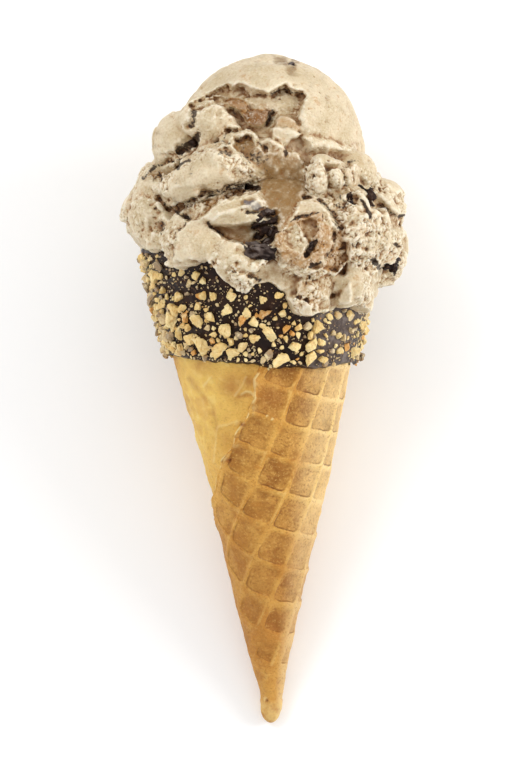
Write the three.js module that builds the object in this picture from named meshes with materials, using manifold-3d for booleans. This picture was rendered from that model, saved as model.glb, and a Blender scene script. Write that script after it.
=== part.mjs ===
// Two-scoop ice cream cone lying on its side: a rolled waffle cone whose rim is dipped in
// chocolate and chopped nuts, two scoops of ice cream, and the chocolate chunks in them.
// Units are millimetres. Every piece is shaped in the cone's own frame: Y runs up the axis
// from the tip, Z points at the side that shows and X to its right. Angles round the axis
// are in degrees from Z towards X. A last turn lays the whole cone down on the floor.

import * as THREE from 'three';
import { mergeVertices } from 'three/addons/utils/BufferGeometryUtils.js';
import Module from 'manifold-3d';

const wasm = await Module();
wasm.setup();

const { clamp, degToRad, lerp, smoothstep } = THREE.MathUtils;

// ---- Driving dimensions ----

// The waffle cone
const coneLength = 152;       // tip to rim, a large six-inch cone
const rimRadius = 36;         // outside
const halfAngle = 12.55;      // between the axis and the side
const rimWall = 2.4;
const solidTip = 14;          // length of the closed end, where the sheet bunches up
const tipRound = 2.6;         // length of the rounded end
const tipSwell = 0.5;         // swelling just above the end
const sheetStep = 1.3;        // height of the sheet's edge where it laps over itself
const columns = 24;           // faces round the cone
const rows = 24;              // faces along it
const edgeShare = 0.004;      // share of a turn in which the sheet steps down at its edge
const straightStart = 8;      // where the rows begin, above the rounded end

// The sheet's edge as it winds up the cone: height, angle
const edgePath = [[0, -275], [40, -165], [80, -62], [100, -20], [117, -4], [160, 34]];

// The waffle pattern pressed into the sheet
const wafflePitch = 10.75;
const waffleRidge = 2.2;      // width of the ridges between the hollows
const waffleDepth = 0.9;
const waffleSlope = 0.7;      // how far a hollow's sides lean in
const waffleAbove = 1.4;      // how far its cutter stands out of the sheet
const waffleFull = 13;        // outside radius below which the hollows get smaller
const waffleLean = 23;        // of the grid's lines, to the right of the cone's side
const waffleShift = [1.2, 2.2];
const waffleStart = 19;
const smoothFrom = 66;        // above this height the sheet is smooth beside its edge,
const smoothLap = 0.8;        // over the last fifth of a turn

// The chocolate and its nuts
const dipStart = 116.4;       // height of its lower edge
const dipWave = 0.7;
const dipThickness = 1.5;
const rimCoat = 0.9;          // chocolate on top of the rim
const coatedFrom = 90;        // height where the room for the chocolate begins, well below it
const gap = 0.3;              // left between touching pieces
const nutCount = 54;
const nutLargest = 6.6;       // across
const nutSmallest = 3.4;
const nutSunk = 0.3;          // share of a nut's underside left in the chocolate
const nutSpacing = 0.46;      // between two nuts' middles, of their sizes together

// How the cone lies
const layTilt = 15.5;         // of the axis, above the floor
const tipLift = 2.2;          // of the axis at the tip

// The ice cream's lower edge: angle round the cone, height
const hem = [
  [-180, 140], [-150, 143], [-120, 146], [-90, 151], [-52, 150], [-41, 146.3], [-23, 148.7],
  [-15, 143.6], [-10, 140.3], [-5, 141.5], [-2, 145], [6, 142], [11, 138.8], [15, 133],
  [22, 132.4], [32, 134.5], [44, 135.2], [53, 131.1], [62, 131.8], [72, 136], [90, 141],
  [130, 138], [155, 143], [180, 140],
];

// A scoop is a rounded body with lobes and slabs standing out of it
const bottomScoop = {
  centre: [2, 157, -2],
  detail: 10,
  lobes: [
    { at: [2, 157, -2], size: [41, 25, 44] },              // the body
    { at: [1, 150, -2], size: [37.5, 28, 40] },            // its lower half, over the rim
    { at: [-32, 164, 8], size: [10.6, 12.5, 15] },         // left cheek
    { at: [-31, 155, 14], size: [9, 10, 12] },             // its foot
    { at: [-30, 172, 10], size: [9, 8, 12] },              // its shoulder
    { at: [-18.7, 154, 30], size: [12, 13, 9] },           // smooth tongue, left
    { at: [-6.6, 150.7, 35], size: [13, 8, 8] },           // slab in the middle
    { at: [-8.7, 166.3, 33], size: [13, 6, 8] },           // pale leaf above it
    { at: [13.1, 156.2, 33], size: [13, 12, 9] },          // rough lobe, right of the middle
    { at: [12.2, 137, 31], size: [9, 8, 6] },              // lump at its foot
    { at: [-6.8, 144.3, 35], size: [5, 4.5, 4] },          // crumb lump on the chocolate
    { at: [26.5, 141, 20], size: [9, 12, 12] },            // lower right
    { at: [34.5, 153.5, 7], size: [9.8, 8.5, 13] },        // right cheek
    { at: [36, 167.5, 6], size: [9.6, 8.5, 12] },          // lump above it
    { at: [27, 159, 24], size: [11, 13, 12] },             // between the two
  ],
  back: { count: 11, from: 100, to: 262, low: 143, high: 172, reach: 31, size: 12 },
};
const topScoop = {
  centre: [3, 181.5, 0],
  detail: 9,
  floor: 165,
  lobes: [
    { at: [3, 181.5, -1], size: [31, 31, 31] },            // the body, smooth on top
    { at: [-24, 186, 9], size: [9.6, 11.5, 14] },         // left cheek
    { at: [-13.5, 192.4, 19], size: [11, 8.5, 8] },        // chunk above it
    { at: [-15.3, 176.6, 26], size: [15, 8, 10], turn: 25 },  // smooth slab
    { at: [-1.5, 182, 26], size: [12, 8, 7] },             // crown of the slab
    { at: [19.7, 174.3, 23], size: [9, 8, 9] },            // knobs at the right
    { at: [27, 175.2, 13], size: [8, 8, 9] },
    { at: [9.3, 189.7, 22], size: [10, 7, 7] },            // facet under the ledge
  ],
  hollow: { at: [-2.6, 190.5], size: [17.5, 12], depth: 4.5 },   // broken out of the front
  back: { count: 8, from: 105, to: 255, low: 170, high: 196, reach: 20, size: 11.5 },
};

// Chocolate chunks: towards is a point outside the scoop, over the chunk's middle, and
// size is its length, width and thickness
const chunks = [
  { towards: [-0.3, 154, 42], size: [10.5, 4.8, 4.2], turn: -6 },
  { towards: [0.2, 160.8, 42], size: [8.5, 3.4, 4], turn: 4 },
  { towards: [1, 167, 40], size: [6, 2.6, 3.6], turn: -8 },
  { towards: [32.4, 167.6, 21], size: [3.4, 8, 4.4], turn: -10 },
  { towards: [25.5, 169.2, 27], size: [4.6, 4, 4], turn: 25 },
  { towards: [14.5, 155.4, 40], size: [3.4, 4.6, 4], turn: 15 },
  { towards: [42, 146.6, 8], size: [4.4, 4, 4], turn: 0 },
  { towards: [-41.6, 167, 8], size: [3, 6, 4], turn: 10 },
  { towards: [10.6, 210, 8], size: [5, 3.6, 3.6], turn: 60, top: true },
  { towards: [-19.7, 186.5, 22], size: [5.5, 3.2, 4], turn: 60, top: true },
  { towards: [-17, 160, -38], size: [8, 4.4, 4], turn: 35 },
  { towards: [26, 163, -32], size: [6, 4.4, 4], turn: -50 },
  { towards: [14, 184, -30], size: [7, 4.2, 4], turn: 10, top: true },
];
const chunkStand = 1.3;       // how far a chunk stands out of the ice cream

// ---- Solids and random draws ----

// A closed geometry as a solid that can be joined and cut
function toSolid(geometry) {
  const bare = new THREE.BufferGeometry();
  bare.setAttribute('position', geometry.getAttribute('position'));
  bare.setIndex(geometry.index);
  const merged = mergeVertices(bare, 1e-4);
  const corners = merged.index.array;
  const triangles = [];
  for (let i = 0; i < corners.length; i += 3) {
    const [a, b, c] = corners.subarray(i, i + 3);
    if (a !== b && b !== c && c !== a) triangles.push(a, b, c);
  }
  return new wasm.Manifold(new wasm.Mesh({
    numProp: 3,
    vertProperties: Float32Array.from(merged.getAttribute('position').array),
    triVerts: Uint32Array.from(triangles),
  }));
}

// The solid's main body as a named mesh, with any loose scrap dropped
function toMesh(solid, name, colour, roughness) {
  const bodies = solid.decompose().sort((a, b) => b.volume() - a.volume());
  const { vertProperties, triVerts } = bodies[0].getMesh();
  const geometry = new THREE.BufferGeometry();
  geometry.setAttribute('position', new THREE.BufferAttribute(vertProperties, 3));
  geometry.setIndex(new THREE.BufferAttribute(triVerts, 1));
  geometry.computeVertexNormals();
  const material = new THREE.MeshStandardMaterial({ color: colour, roughness, metalness: 0 });
  const mesh = new THREE.Mesh(geometry, material);
  mesh.name = name;
  return mesh;
}

function seededRandom(seed) {
  let state = seed;
  return () => {
    state = (state + 0x6d2b79f5) | 0;
    let mixed = Math.imul(state ^ (state >>> 15), 1 | state);
    mixed = (mixed + Math.imul(mixed ^ (mixed >>> 7), 61 | mixed)) ^ mixed;
    return ((mixed ^ (mixed >>> 14)) >>> 0) / 4294967296;
  };
}

// Moves each of a geometry's points by a function
function reshape(geometry, move) {
  const position = geometry.getAttribute('position');
  const point = new THREE.Vector3();
  for (let i = 0; i < position.count; i++) {
    move(point.fromBufferAttribute(position, i), i);
    position.setXYZ(i, point.x, point.y, point.z);
  }
  return geometry;
}

function aroundAxis(point, angle, radius, height) {
  const turn = degToRad(angle);
  return point.set(radius * Math.sin(turn), height, radius * Math.cos(turn));
}

// ---- The waffle cone ----

const taper = Math.tan(degToRad(halfAngle));
const rowHeight = (coneLength - straightStart) / rows;

// Reads a path of pairs, such as the hem or the sheet's edge, at a place between them
function readPath(path, place) {
  const next = clamp(path.findIndex(([start]) => start > place), 1, path.length - 1);
  const [fromPlace, fromValue] = path[next - 1];
  const [toPlace, toValue] = path[next];
  return lerp(fromValue, toValue, (place - fromPlace) / (toPlace - fromPlace));
}

// Angle at which the sheet's edge crosses a height
function edgeAngle(height) {
  return readPath(edgePath, height);
}

// How far round the cone a point is from the sheet's edge, from 0 to 1
function turnShare(angle, height) {
  const turns = (angle - edgeAngle(height)) / 360;
  return turns - Math.floor(turns);
}

function straightRadius(height) {
  return rimRadius - (coneLength - height) * taper;
}

// Outside radius of the rolled sheet, which steps down at its own edge
function sheetRadius(height, share) {
  const lap = sheetStep * smoothstep(height, 4, 20) * (1 - smoothstep(height, 113, 124));
  const swell = tipSwell * Math.exp(-(((height - 4.5) / 2.4) ** 2));
  const end = clamp(1 - height / tipRound, 0, 1);
  const rounding = Math.sqrt(1 - end * end);
  return (straightRadius(height) + swell) * rounding + lap * (0.5 - share);
}

// A solid round the axis whose columns wind up the cone with the sheet's edge. It stands
// grow outside the sheet, and its first height can wave with the angle.
function rolledSolid(heights, grow, wave = () => 0) {
  const last = heights.length - 1;
  const profile = heights.map((height) => new THREE.Vector2(1, height));
  const all = [new THREE.Vector2(0, heights[0]), ...profile, new THREE.Vector2(0, heights[last])];
  const geometry = reshape(new THREE.LatheGeometry(all, columns), (point, i) => {
    const row = i % all.length;
    const column = Math.floor(i / all.length) % columns;
    if (row === 0 || row === all.length - 1) return;
    const share = column === 1 ? edgeShare : column / columns;
    let height = point.y;
    if (row === 1) height += wave(edgeAngle(height) + share * 360);
    const angle = edgeAngle(height) + share * 360;
    const lapShare = column === 0 ? 1 : share;
    aroundAxis(point, angle, sheetRadius(height, lapShare) + grow, height);
  });
  return toSolid(geometry);
}

// A plain solid round the axis
function turnedSolid(outline) {
  const profile = outline.map(([radius, height]) => new THREE.Vector2(radius, height));
  return toSolid(new THREE.LatheGeometry(profile, columns));
}

// Inside radius of the cone, which closes well above the tip
function insideRadius(height) {
  return (rimRadius - rimWall) * (height - solidTip) / (coneLength - solidTip);
}

const rowHeights = Array.from({ length: rows + 1 }, (_, row) => straightStart + row * rowHeight);

function makeCavity() {
  const top = coneLength + 20;
  return turnedSolid([[0, solidTip], [insideRadius(top), top], [0, top]]);
}

// A point on the flat sheet, measured from where its two edges would meet, on the cone
function ontoCone(across, along, raise) {
  const slant = Math.hypot(across, along);
  const apex = coneLength - rimRadius / taper;
  const height = apex + slant * Math.cos(degToRad(halfAngle));
  const angle = Math.atan2(across, along) / degToRad(1) / Math.sin(degToRad(halfAngle));
  const share = (angle - edgeAngle(height)) / 360;
  const radius = sheetRadius(height, share) + raise;
  return { height, angle, share, point: aroundAxis(new THREE.Vector3(), angle, radius, height) };
}

// The faces of a pressed hollow: four corners below, four above, folded from corner 0 to 2
const hollowFaces = [
  [0, 2, 1], [0, 3, 2], [4, 5, 6], [4, 6, 7], [0, 1, 5], [0, 5, 4],
  [1, 2, 6], [1, 6, 5], [2, 3, 7], [2, 7, 6], [3, 0, 4], [3, 4, 7],
];

// One hollow of the waffle pattern, or nothing where the sheet is smooth or ends
function waffleHollow(across, along, turn) {
  const middle = ontoCone(across, along, 0);
  if (middle.height < waffleStart || middle.height > dipStart - 1) return null;
  if (middle.share > (middle.height > smoothFrom ? smoothLap : 1)) return null;
  const shrink = clamp(straightRadius(middle.height) / waffleFull, 0.5, 1);
  const half = (wafflePitch - waffleRidge) / 2 * shrink;
  const corners = (size, raise) => [0, 1, 2, 3].map((corner) => {
    const direction = turn + degToRad(45 + 90 * corner);
    const reach = size * Math.SQRT2;
    return ontoCone(across + reach * Math.cos(direction), along + reach * Math.sin(direction), raise);
  });
  const below = corners(half - waffleSlope, -waffleDepth);
  const over = corners(half + waffleSlope * waffleAbove / waffleDepth, waffleAbove);
  if (over.some(({ share }) => share < 1.5 * edgeShare || share > 0.99)) return null;
  const spread = (a, b) => Math.abs(below[a].angle - below[b].angle);
  const start = spread(0, 2) < spread(1, 3) ? 0 : 1;     // the fold runs along the cone
  const ring = [0, 1, 2, 3].map((corner) => (corner + start) % 4);
  const points = [...ring.map((i) => below[i].point), ...ring.map((i) => over[i].point)];
  const geometry = new THREE.BufferGeometry().setFromPoints(points);
  geometry.setIndex(hollowFaces.flat());
  return toSolid(geometry);
}

function makeWaffleHollows() {
  const turn = degToRad(90 - waffleLean);
  const reach = Math.ceil(coneLength / wafflePitch) + 2;
  const hollows = [];
  for (let i = -reach; i <= reach; i++) {
    for (let j = -reach; j <= reach; j++) {
      const up = i * wafflePitch + waffleShift[0];
      const left = j * wafflePitch + waffleShift[1];
      const across = up * Math.cos(turn) - left * Math.sin(turn);
      const along = up * Math.sin(turn) + left * Math.cos(turn);
      const made = waffleHollow(across, along, turn);
      if (made) hollows.push(made);
    }
  }
  return wasm.Manifold.union(hollows);
}

function makeCone() {
  const tipHeights = [0, 0.4, 1.2, tipRound, 4.5, 6.5].map((height) => Math.max(height, 0.02));
  const sheet = rolledSolid([...tipHeights, ...rowHeights], 0);
  return sheet.subtract(makeCavity()).subtract(makeWaffleHollows());
}

// ---- The chocolate and its nuts ----

// Height of the ice cream's lower edge at an angle
function hemHeight(angle) {
  const turned = ((angle + 180) % 360 + 360) % 360 - 180;
  return readPath(hem, turned);
}

// How thickly the nuts lie: thick at the left and front, thin at the right of the front
function nutShare(angle) {
  if (angle > 28 && angle < 62) return 0.12;
  return angle > -100 && angle < 28 ? 1 : 0.55;
}

// A chopped nut: a lopsided lump with flat faces
function nutSolid(size, random) {
  const lump = mergeVertices(new THREE.IcosahedronGeometry(size / 2, 0).deleteAttribute('uv')
    .deleteAttribute('normal'));
  reshape(lump, (point) => {
    point.multiplyScalar(lerp(0.78, 1.15, random()));
    if (point.z < 0) point.z *= nutSunk;
  });
  lump.scale(lerp(0.85, 1.1, random()), lerp(0.75, 1, random()), lerp(0.6, 0.85, random()));
  lump.rotateZ(random() * Math.PI);
  return lump;
}

// Nuts pressed into the chocolate by a seeded rule, the largest first
function makeNuts() {
  const random = seededRandom(41);
  const placed = [];
  const nuts = [];
  while (placed.length < nutCount) {
    const size = lerp(nutLargest, nutSmallest, Math.sqrt(placed.length / nutCount));
    const angle = lerp(-180, 180, random());
    const height = lerp(dipStart + 0.5, coneLength - 1, random());
    const radius = sheetRadius(height, turnShare(angle, height)) + gap + dipThickness;
    const middle = aroundAxis(new THREE.Vector3(), angle, radius + 0.2, height);
    const close = placed.some((nut) => nut.middle.distanceTo(middle) < nutSpacing * (nut.size + size));
    const kept = random() < nutShare(angle);
    if (close || !kept || height + size * 0.6 > hemHeight(angle) - 0.8) continue;
    placed.push({ middle, size });
    const lump = nutSolid(size, random);
    lump.rotateY(degToRad(angle));
    lump.translate(middle.x, middle.y, middle.z);
    nuts.push(toSolid(lump));
  }
  return wasm.Manifold.union(nuts);
}

function makeDip(nuts) {
  const topOfDip = coneLength + gap + rimCoat;
  const wave = (angle) => dipWave * (Math.sin(degToRad(3 * angle)) + Math.sin(degToRad(7 * angle)));
  const within = rowHeights.filter((height) => height > dipStart + 3);
  const coat = rolledSolid([dipStart, ...within, topOfDip], gap + dipThickness, wave);
  const below = rowHeights.filter((height) => height > coatedFrom);
  const clearance = rolledSolid([...below, coneLength + gap], gap);
  return coat.add(nuts).subtract(clearance).subtract(makeCavity());
}

// ---- The ice cream ----

// Distance from a scoop's centre to the far side of a lobe in a direction, 0 if it misses
function lobeReach(lobe, centre, direction) {
  const size = new THREE.Vector3(...lobe.size);
  const axis = new THREE.Vector3(0, 0, 1);
  const unturn = degToRad(-(lobe.turn ?? 0));
  const start = centre.clone().sub(new THREE.Vector3(...lobe.at)).applyAxisAngle(axis, unturn);
  const step = direction.clone().applyAxisAngle(axis, unturn).divide(size);
  start.divide(size);
  const across = step.lengthSq();
  const half = start.dot(step);
  const inside = half * half - across * (start.lengthSq() - 1);
  return inside < 0 ? 0 : (Math.sqrt(inside) - half) / across;
}

// Lobes on the side that doesn't show, spread by a seeded rule
function backLobes({ centre, back }, seed) {
  const random = seededRandom(seed);
  return Array.from({ length: back.count }, (_, i) => {
    const angle = lerp(back.from, back.to, (i + 0.25 + 0.5 * random()) / back.count);
    const height = lerp(back.low, back.high, (i * 0.618 + 0.2 * random()) % 1);
    const middle = aroundAxis(new THREE.Vector3(), angle, back.reach, height);
    const size = [0, 1, 2].map(() => back.size * lerp(0.8, 1.2, random()));
    return { at: [middle.x + centre[0], middle.y, middle.z + centre[2]], size };
  });
}

// How deep a scoop's hollow is at a point of its body
function hollowDepth({ at, size, depth }, point) {
  const across = (point.x - at[0]) / size[0];
  const along = (point.y - at[1]) / size[1];
  return point.z < 0 ? 0 : depth * (1 - smoothstep(across ** 4 + along ** 4, 0.6, 1.1));
}

// Distance from a scoop's centre to its surface in a direction
function scoopReach(scoop, lobes, direction) {
  const centre = new THREE.Vector3(...scoop.centre);
  let [body, ...others] = lobes.map((lobe) => lobeReach(lobe, centre, direction));
  if (scoop.hollow) {
    body -= hollowDepth(scoop.hollow, centre.clone().addScaledVector(direction, body));
  }
  const reach = Math.max(body, ...others);
  const flat = scoop.floor && direction.y < 0;
  return flat ? Math.min(reach, (scoop.floor - centre.y) / direction.y) : reach;
}

function scoopSolid(scoop, lobes, grow) {
  const sphere = new THREE.IcosahedronGeometry(1, scoop.detail);
  const ball = mergeVertices(sphere.deleteAttribute('uv').deleteAttribute('normal'), 1e-5);
  const centre = new THREE.Vector3(...scoop.centre);
  return toSolid(reshape(ball, (point) => {
    const direction = point.clone().normalize();
    point.copy(direction).multiplyScalar(scoopReach(scoop, lobes, direction) + grow).add(centre);
  }));
}

// Everything below the ice cream's lower edge, cut lower further out
function makeCollar() {
  const out = 60;
  const low = 90;
  const outline = [[0, low], [out, low], [out, -12], [rimRadius, 1], [0, 0]];
  const profile = outline.map(([radius, height]) => new THREE.Vector2(radius, height));
  const sides = 60;
  return toSolid(reshape(new THREE.LatheGeometry(profile, sides), (point, i) => {
    const row = i % outline.length;
    const angle = Math.floor(i / outline.length) % sides * 360 / sides;
    if (row === 2 || row === 3) point.y += hemHeight(angle);
    if (row === 4) point.y += 130;
  }));
}

// The ice cream packed into the cone, up into the bottom scoop
function makePlug() {
  const start = solidTip + 2;
  const end = 160;
  const radius = (height) => insideRadius(height) - gap;
  return turnedSolid([[0, start], [radius(start + 1), start + 1], [radius(end), end], [0, end]]);
}

// ---- Chocolate chunks ----

// A broken piece of chocolate: a block with uneven corners
function chunkSolid(chunk, middle, outwards, grow) {
  const random = seededRandom(Math.round(Math.abs(chunk.towards[0] * 10)));
  const [length, width, thickness] = chunk.size;
  const block = new THREE.BoxGeometry(1, 1, 1);
  block.deleteAttribute('uv').deleteAttribute('normal');
  const corners = mergeVertices(block);
  reshape(corners, (point) => {
    point.x *= lerp(0.72, 1.05, random()) * length + 2 * grow;
    point.y *= lerp(0.7, 1.05, random()) * width + 2 * grow;
    point.z *= lerp(0.85, 1.05, random()) * thickness + 2 * grow;
  });
  const across = new THREE.Vector3(0, 1, 0).cross(outwards).normalize();
  const up = outwards.clone().cross(across);
  corners.rotateZ(degToRad(chunk.turn));
  corners.applyMatrix4(new THREE.Matrix4().makeBasis(across, up, outwards));
  corners.translate(middle.x, middle.y, middle.z);
  return toSolid(corners);
}

function placeChunk(chunk, scoop, lobes) {
  const centre = new THREE.Vector3(...scoop.centre);
  const outwards = new THREE.Vector3(...chunk.towards).sub(centre).normalize();
  const sunk = chunkStand - chunk.size[2] / 2;
  const middle = centre.addScaledVector(outwards, scoopReach(scoop, lobes, outwards) + sunk);
  return { middle, outwards };
}

// ---- The whole cone ----

const bottomLobes = [...bottomScoop.lobes, ...backLobes(bottomScoop, 7)];
const topLobes = [...topScoop.lobes, ...backLobes(topScoop, 19)];

const nuts = makeNuts();
const dipRows = rowHeights.filter((height) => height > coatedFrom);
const dipRoom = rolledSolid([...dipRows, coneLength + 2 * gap + rimCoat], 2 * gap + dipThickness);

let topSolid = scoopSolid(topScoop, topLobes, 0);
let bottomSolid = scoopSolid(bottomScoop, bottomLobes, 0)
  .subtract(makeCollar())
  .subtract(dipRoom)
  .add(makePlug())
  .subtract(scoopSolid(topScoop, topLobes, 2 * gap));

const chunkMeshes = chunks.map((chunk, i) => {
  const place = chunk.top ? placeChunk(chunk, topScoop, topLobes)
    : placeChunk(chunk, bottomScoop, bottomLobes);
  const pocket = chunkSolid(chunk, place.middle, place.outwards, gap);
  topSolid = topSolid.subtract(pocket);
  bottomSolid = bottomSolid.subtract(pocket);
  const solid = chunkSolid(chunk, place.middle, place.outwards, 0);
  return toMesh(solid, `chocolate_chunk_${i + 1}`, 0x2b1c18, 0.45);
});

// Keeps what is above the floor that the cone lies on
function aboveFloor(solid) {
  const tilt = degToRad(layTilt);
  return solid.trimByPlane([0, Math.sin(tilt), Math.cos(tilt)], -tipLift);
}

const laid = new THREE.Group();
laid.add(
  toMesh(aboveFloor(makeCone()), 'waffle_cone', 0xd29a4c, 0.75),
  toMesh(makeDip(nuts), 'chocolate_dip', 0x33221d, 0.4),
  toMesh(aboveFloor(bottomSolid), 'bottom_scoop', 0xe0ccae, 0.6),
  toMesh(aboveFloor(topSolid), 'top_scoop', 0xe4d2b6, 0.6),
  ...chunkMeshes,
);
laid.rotation.x = degToRad(layTilt);
laid.updateMatrixWorld(true);
const box = new THREE.Box3().setFromObject(laid, true);
const middle = box.getCenter(new THREE.Vector3());
laid.position.set(-middle.x, -middle.y, tipLift);

const iceCreamCone = new THREE.Group();
iceCreamCone.add(laid);

export default iceCreamCone;
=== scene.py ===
import math
import random

import bmesh
import bpy
import numpy as np
from mathutils import Matrix, Vector, noise
from mathutils.bvhtree import BVHTree
from mathutils.kdtree import KDTree


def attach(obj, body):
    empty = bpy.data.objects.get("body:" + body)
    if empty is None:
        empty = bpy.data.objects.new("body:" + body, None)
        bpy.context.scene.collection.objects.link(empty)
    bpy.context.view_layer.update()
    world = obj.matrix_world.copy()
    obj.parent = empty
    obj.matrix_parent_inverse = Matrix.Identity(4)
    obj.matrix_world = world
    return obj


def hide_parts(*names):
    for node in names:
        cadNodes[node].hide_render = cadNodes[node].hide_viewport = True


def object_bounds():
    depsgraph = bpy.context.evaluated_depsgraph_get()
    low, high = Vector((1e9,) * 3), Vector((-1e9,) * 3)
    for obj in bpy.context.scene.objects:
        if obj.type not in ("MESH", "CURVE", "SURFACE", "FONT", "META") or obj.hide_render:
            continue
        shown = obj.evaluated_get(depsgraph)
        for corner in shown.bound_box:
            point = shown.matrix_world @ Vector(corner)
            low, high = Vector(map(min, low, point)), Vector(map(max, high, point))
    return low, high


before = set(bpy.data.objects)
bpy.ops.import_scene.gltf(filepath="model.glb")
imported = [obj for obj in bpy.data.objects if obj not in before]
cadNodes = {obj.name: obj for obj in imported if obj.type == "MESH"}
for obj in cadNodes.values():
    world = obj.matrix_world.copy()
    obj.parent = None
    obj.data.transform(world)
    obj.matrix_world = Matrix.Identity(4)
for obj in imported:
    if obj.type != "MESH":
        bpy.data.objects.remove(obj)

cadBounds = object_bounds()

# Shapes are made in the cone's own frame, in millimetres: y runs up its axis from the tip,
# z points at the side that shows and x to its right. Angles are in degrees from z towards x.

coneShape = {
    "length": 152.0, "rimRadius": 36.0, "halfAngle": 12.55, "rimWall": 2.4, "solidTip": 14.0,
    "tipRound": 2.6, "tipSwell": 0.5,
    "sheetStep": 1.3,          # where the sheet laps over itself
    "lapStart": (4, 20), "lapEnd": (113, 124),         # heights where the step grows and fades
    "knobHeight": 4.5, "knobReach": 2.4,               # of the swollen tip
    "edgeHeights": [0, 40, 80, 100, 117, 160],
    "edgeAngles": [-275, -165, -62, -20, -4, 34],
    "dipStart": 116.4, "dipWave": 0.7, "dipThickness": 1.5, "gap": 0.3, "rimCoat": 0.9,
    "layTilt": 15.5,           # of the axis, above the floor
}
halfAngle = math.radians(coneShape["halfAngle"])
taper = math.tan(halfAngle)
apex = coneShape["length"] - coneShape["rimRadius"] / taper


def meshPoints(mesh):
    coords = np.empty(len(mesh.vertices) * 3)
    mesh.vertices.foreach_get("co", coords)
    return coords.reshape(-1, 3)


def setPoints(mesh, points):
    mesh.vertices.foreach_set("co", np.ascontiguousarray(points, dtype=np.float64).ravel())
    mesh.update()


def findToWorld():
    tilt = Matrix.Rotation(math.radians(coneShape["layTilt"]), 4, "X")
    points = meshPoints(cadNodes["waffle_cone"].data)
    heights = points @ np.array(tilt.to_3x3())[:, 1]
    tip = points[heights < heights.min() + 2e-5].mean(axis=0)  # on the axis
    return Matrix.Translation(Vector(tip)) @ tilt @ Matrix.Scale(0.001, 4)


toWorld = findToWorld()
floorUp = np.array(toWorld.to_3x3())[2] * 1000  # the floor's up, in the cone's frame
floorRise = toWorld.translation.z * 1000


# The camera's view of the cone
cameraValues = {
    "target": (0.5, 109.2, 0.0),
    "tilt": 6.8,               # from the cone's front towards its top
    "distance": 900.0,
    "roll": 1.1,
    "pixel": 0.3157,           # millimetres of the plane through the target
    "longSide": 768,           # pixels
    "sensor": 36.0,
}


def cameraAxes():
    tilt, roll = math.radians(cameraValues["tilt"]), math.radians(cameraValues["roll"])
    out = Vector((0.0, math.sin(tilt), math.cos(tilt)))
    right = Vector((1.0, 0.0, 0.0))
    up = out.cross(right)
    turned = right * math.cos(roll) - up * math.sin(roll)
    return turned, up * math.cos(roll) + right * math.sin(roll), out


viewRight, viewUp, viewOut = cameraAxes()
viewTarget = Vector(cameraValues["target"])
eye = viewTarget + viewOut * cameraValues["distance"]


def frontPlane(points):  # where points are seen, in mm right of and above the target
    rel = points - np.array(eye)
    depth = rel @ -np.array(viewOut)
    scale = cameraValues["distance"] / depth
    return np.stack([rel @ np.array(viewRight) * scale, rel @ np.array(viewUp) * scale], axis=1)


def sightLine(x, y):  # from the eye through a place on the front plane
    return (viewTarget + viewRight * x + viewUp * y - eye).normalized()


# Sums and noise on many points at once
def smoothStep(values, low, high):
    share = np.clip((values - low) / (high - low), 0.0, 1.0)
    return share * share * (3 - 2 * share)


def softNoise(points, size, seed=0, octaves=1):  # about -1 to 1
    places = (points / size + 17.31 * seed).tolist()
    return 1.6 * np.array([noise.fractal(place, 1.0, 2.0, octaves) for place in places])


def cellNoise(points, size, seed=0):
    places = (points / size + 9.73 * seed).tolist()
    found = [noise.voronoi(place) for place in places]
    near = np.array([distances[0] for distances, middles in found])
    second = np.array([distances[1] for distances, middles in found])
    middle = np.array([tuple(middles[0]) for distances, middles in found])
    offset = (np.array(places) - middle) * size
    return near, second, middle, offset


def cellDraw(middle, seed=0):  # one number from 0 to 1 for each cell
    return np.abs(np.sin(middle @ (12.9898, 78.233, 37.719) + 4.1 * seed) * 4375.85) % 1.0


def insideBy(spots, outline, reach=3.0):  # distance inside an outline, in the plane
    corners = np.array(outline)
    result = pathDistance(spots, np.vstack([corners, corners[:1]]), reach)
    near = np.all((spots > corners.min(0)) & (spots < corners.max(0)), axis=1)
    start, end = corners, np.roll(corners, -1, axis=0)
    x, y = spots[near, 0:1], spots[near, 1:2]
    rises = (start[:, 1] > y) != (end[:, 1] > y)
    height = np.where(end[:, 1] == start[:, 1], 1e-9, end[:, 1] - start[:, 1])
    crossing = rises & (x < (end[:, 0] - start[:, 0]) * (y - start[:, 1]) / height + start[:, 0])
    within = np.zeros(len(spots), dtype=bool)
    within[near] = crossing.sum(axis=1) % 2 == 1
    return np.where(within, result, -np.minimum(result, reach))


def pathDistance(spots, path, reach=3.0):
    corners = np.array(path)
    start, along = corners[:-1], np.diff(corners, axis=0)
    near = np.all((spots > corners.min(0) - reach) & (spots < corners.max(0) + reach), axis=1)
    rel = spots[near, None] - start
    share = np.clip((rel * along).sum(2) / (along ** 2).sum(1), 0, 1)
    result = np.full(len(spots), reach)
    result[near] = np.linalg.norm(rel - share[..., None] * along, axis=2).min(axis=1)
    return result


def seededDraws(seed):  # the same draws as the solids were made with
    state = seed
    full = 0xFFFFFFFF

    def draw():
        nonlocal state
        state = (state + 0x6D2B79F5) & full
        mixed = (state ^ (state >> 15)) * (1 | state) & full
        mixed = (mixed + ((mixed ^ (mixed >> 7)) * (61 | mixed) & full)) & full ^ mixed
        return ((mixed ^ (mixed >> 14)) & full) / 4294967296
    return draw


# Objects and meshes
def addObject(name, mesh):
    made = bpy.data.objects.new(name, mesh)
    bpy.context.scene.collection.objects.link(made)
    return made


def meshFrom(bm, name):
    mesh = bpy.data.meshes.new(name)
    bm.to_mesh(mesh)
    bm.free()
    return mesh


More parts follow.
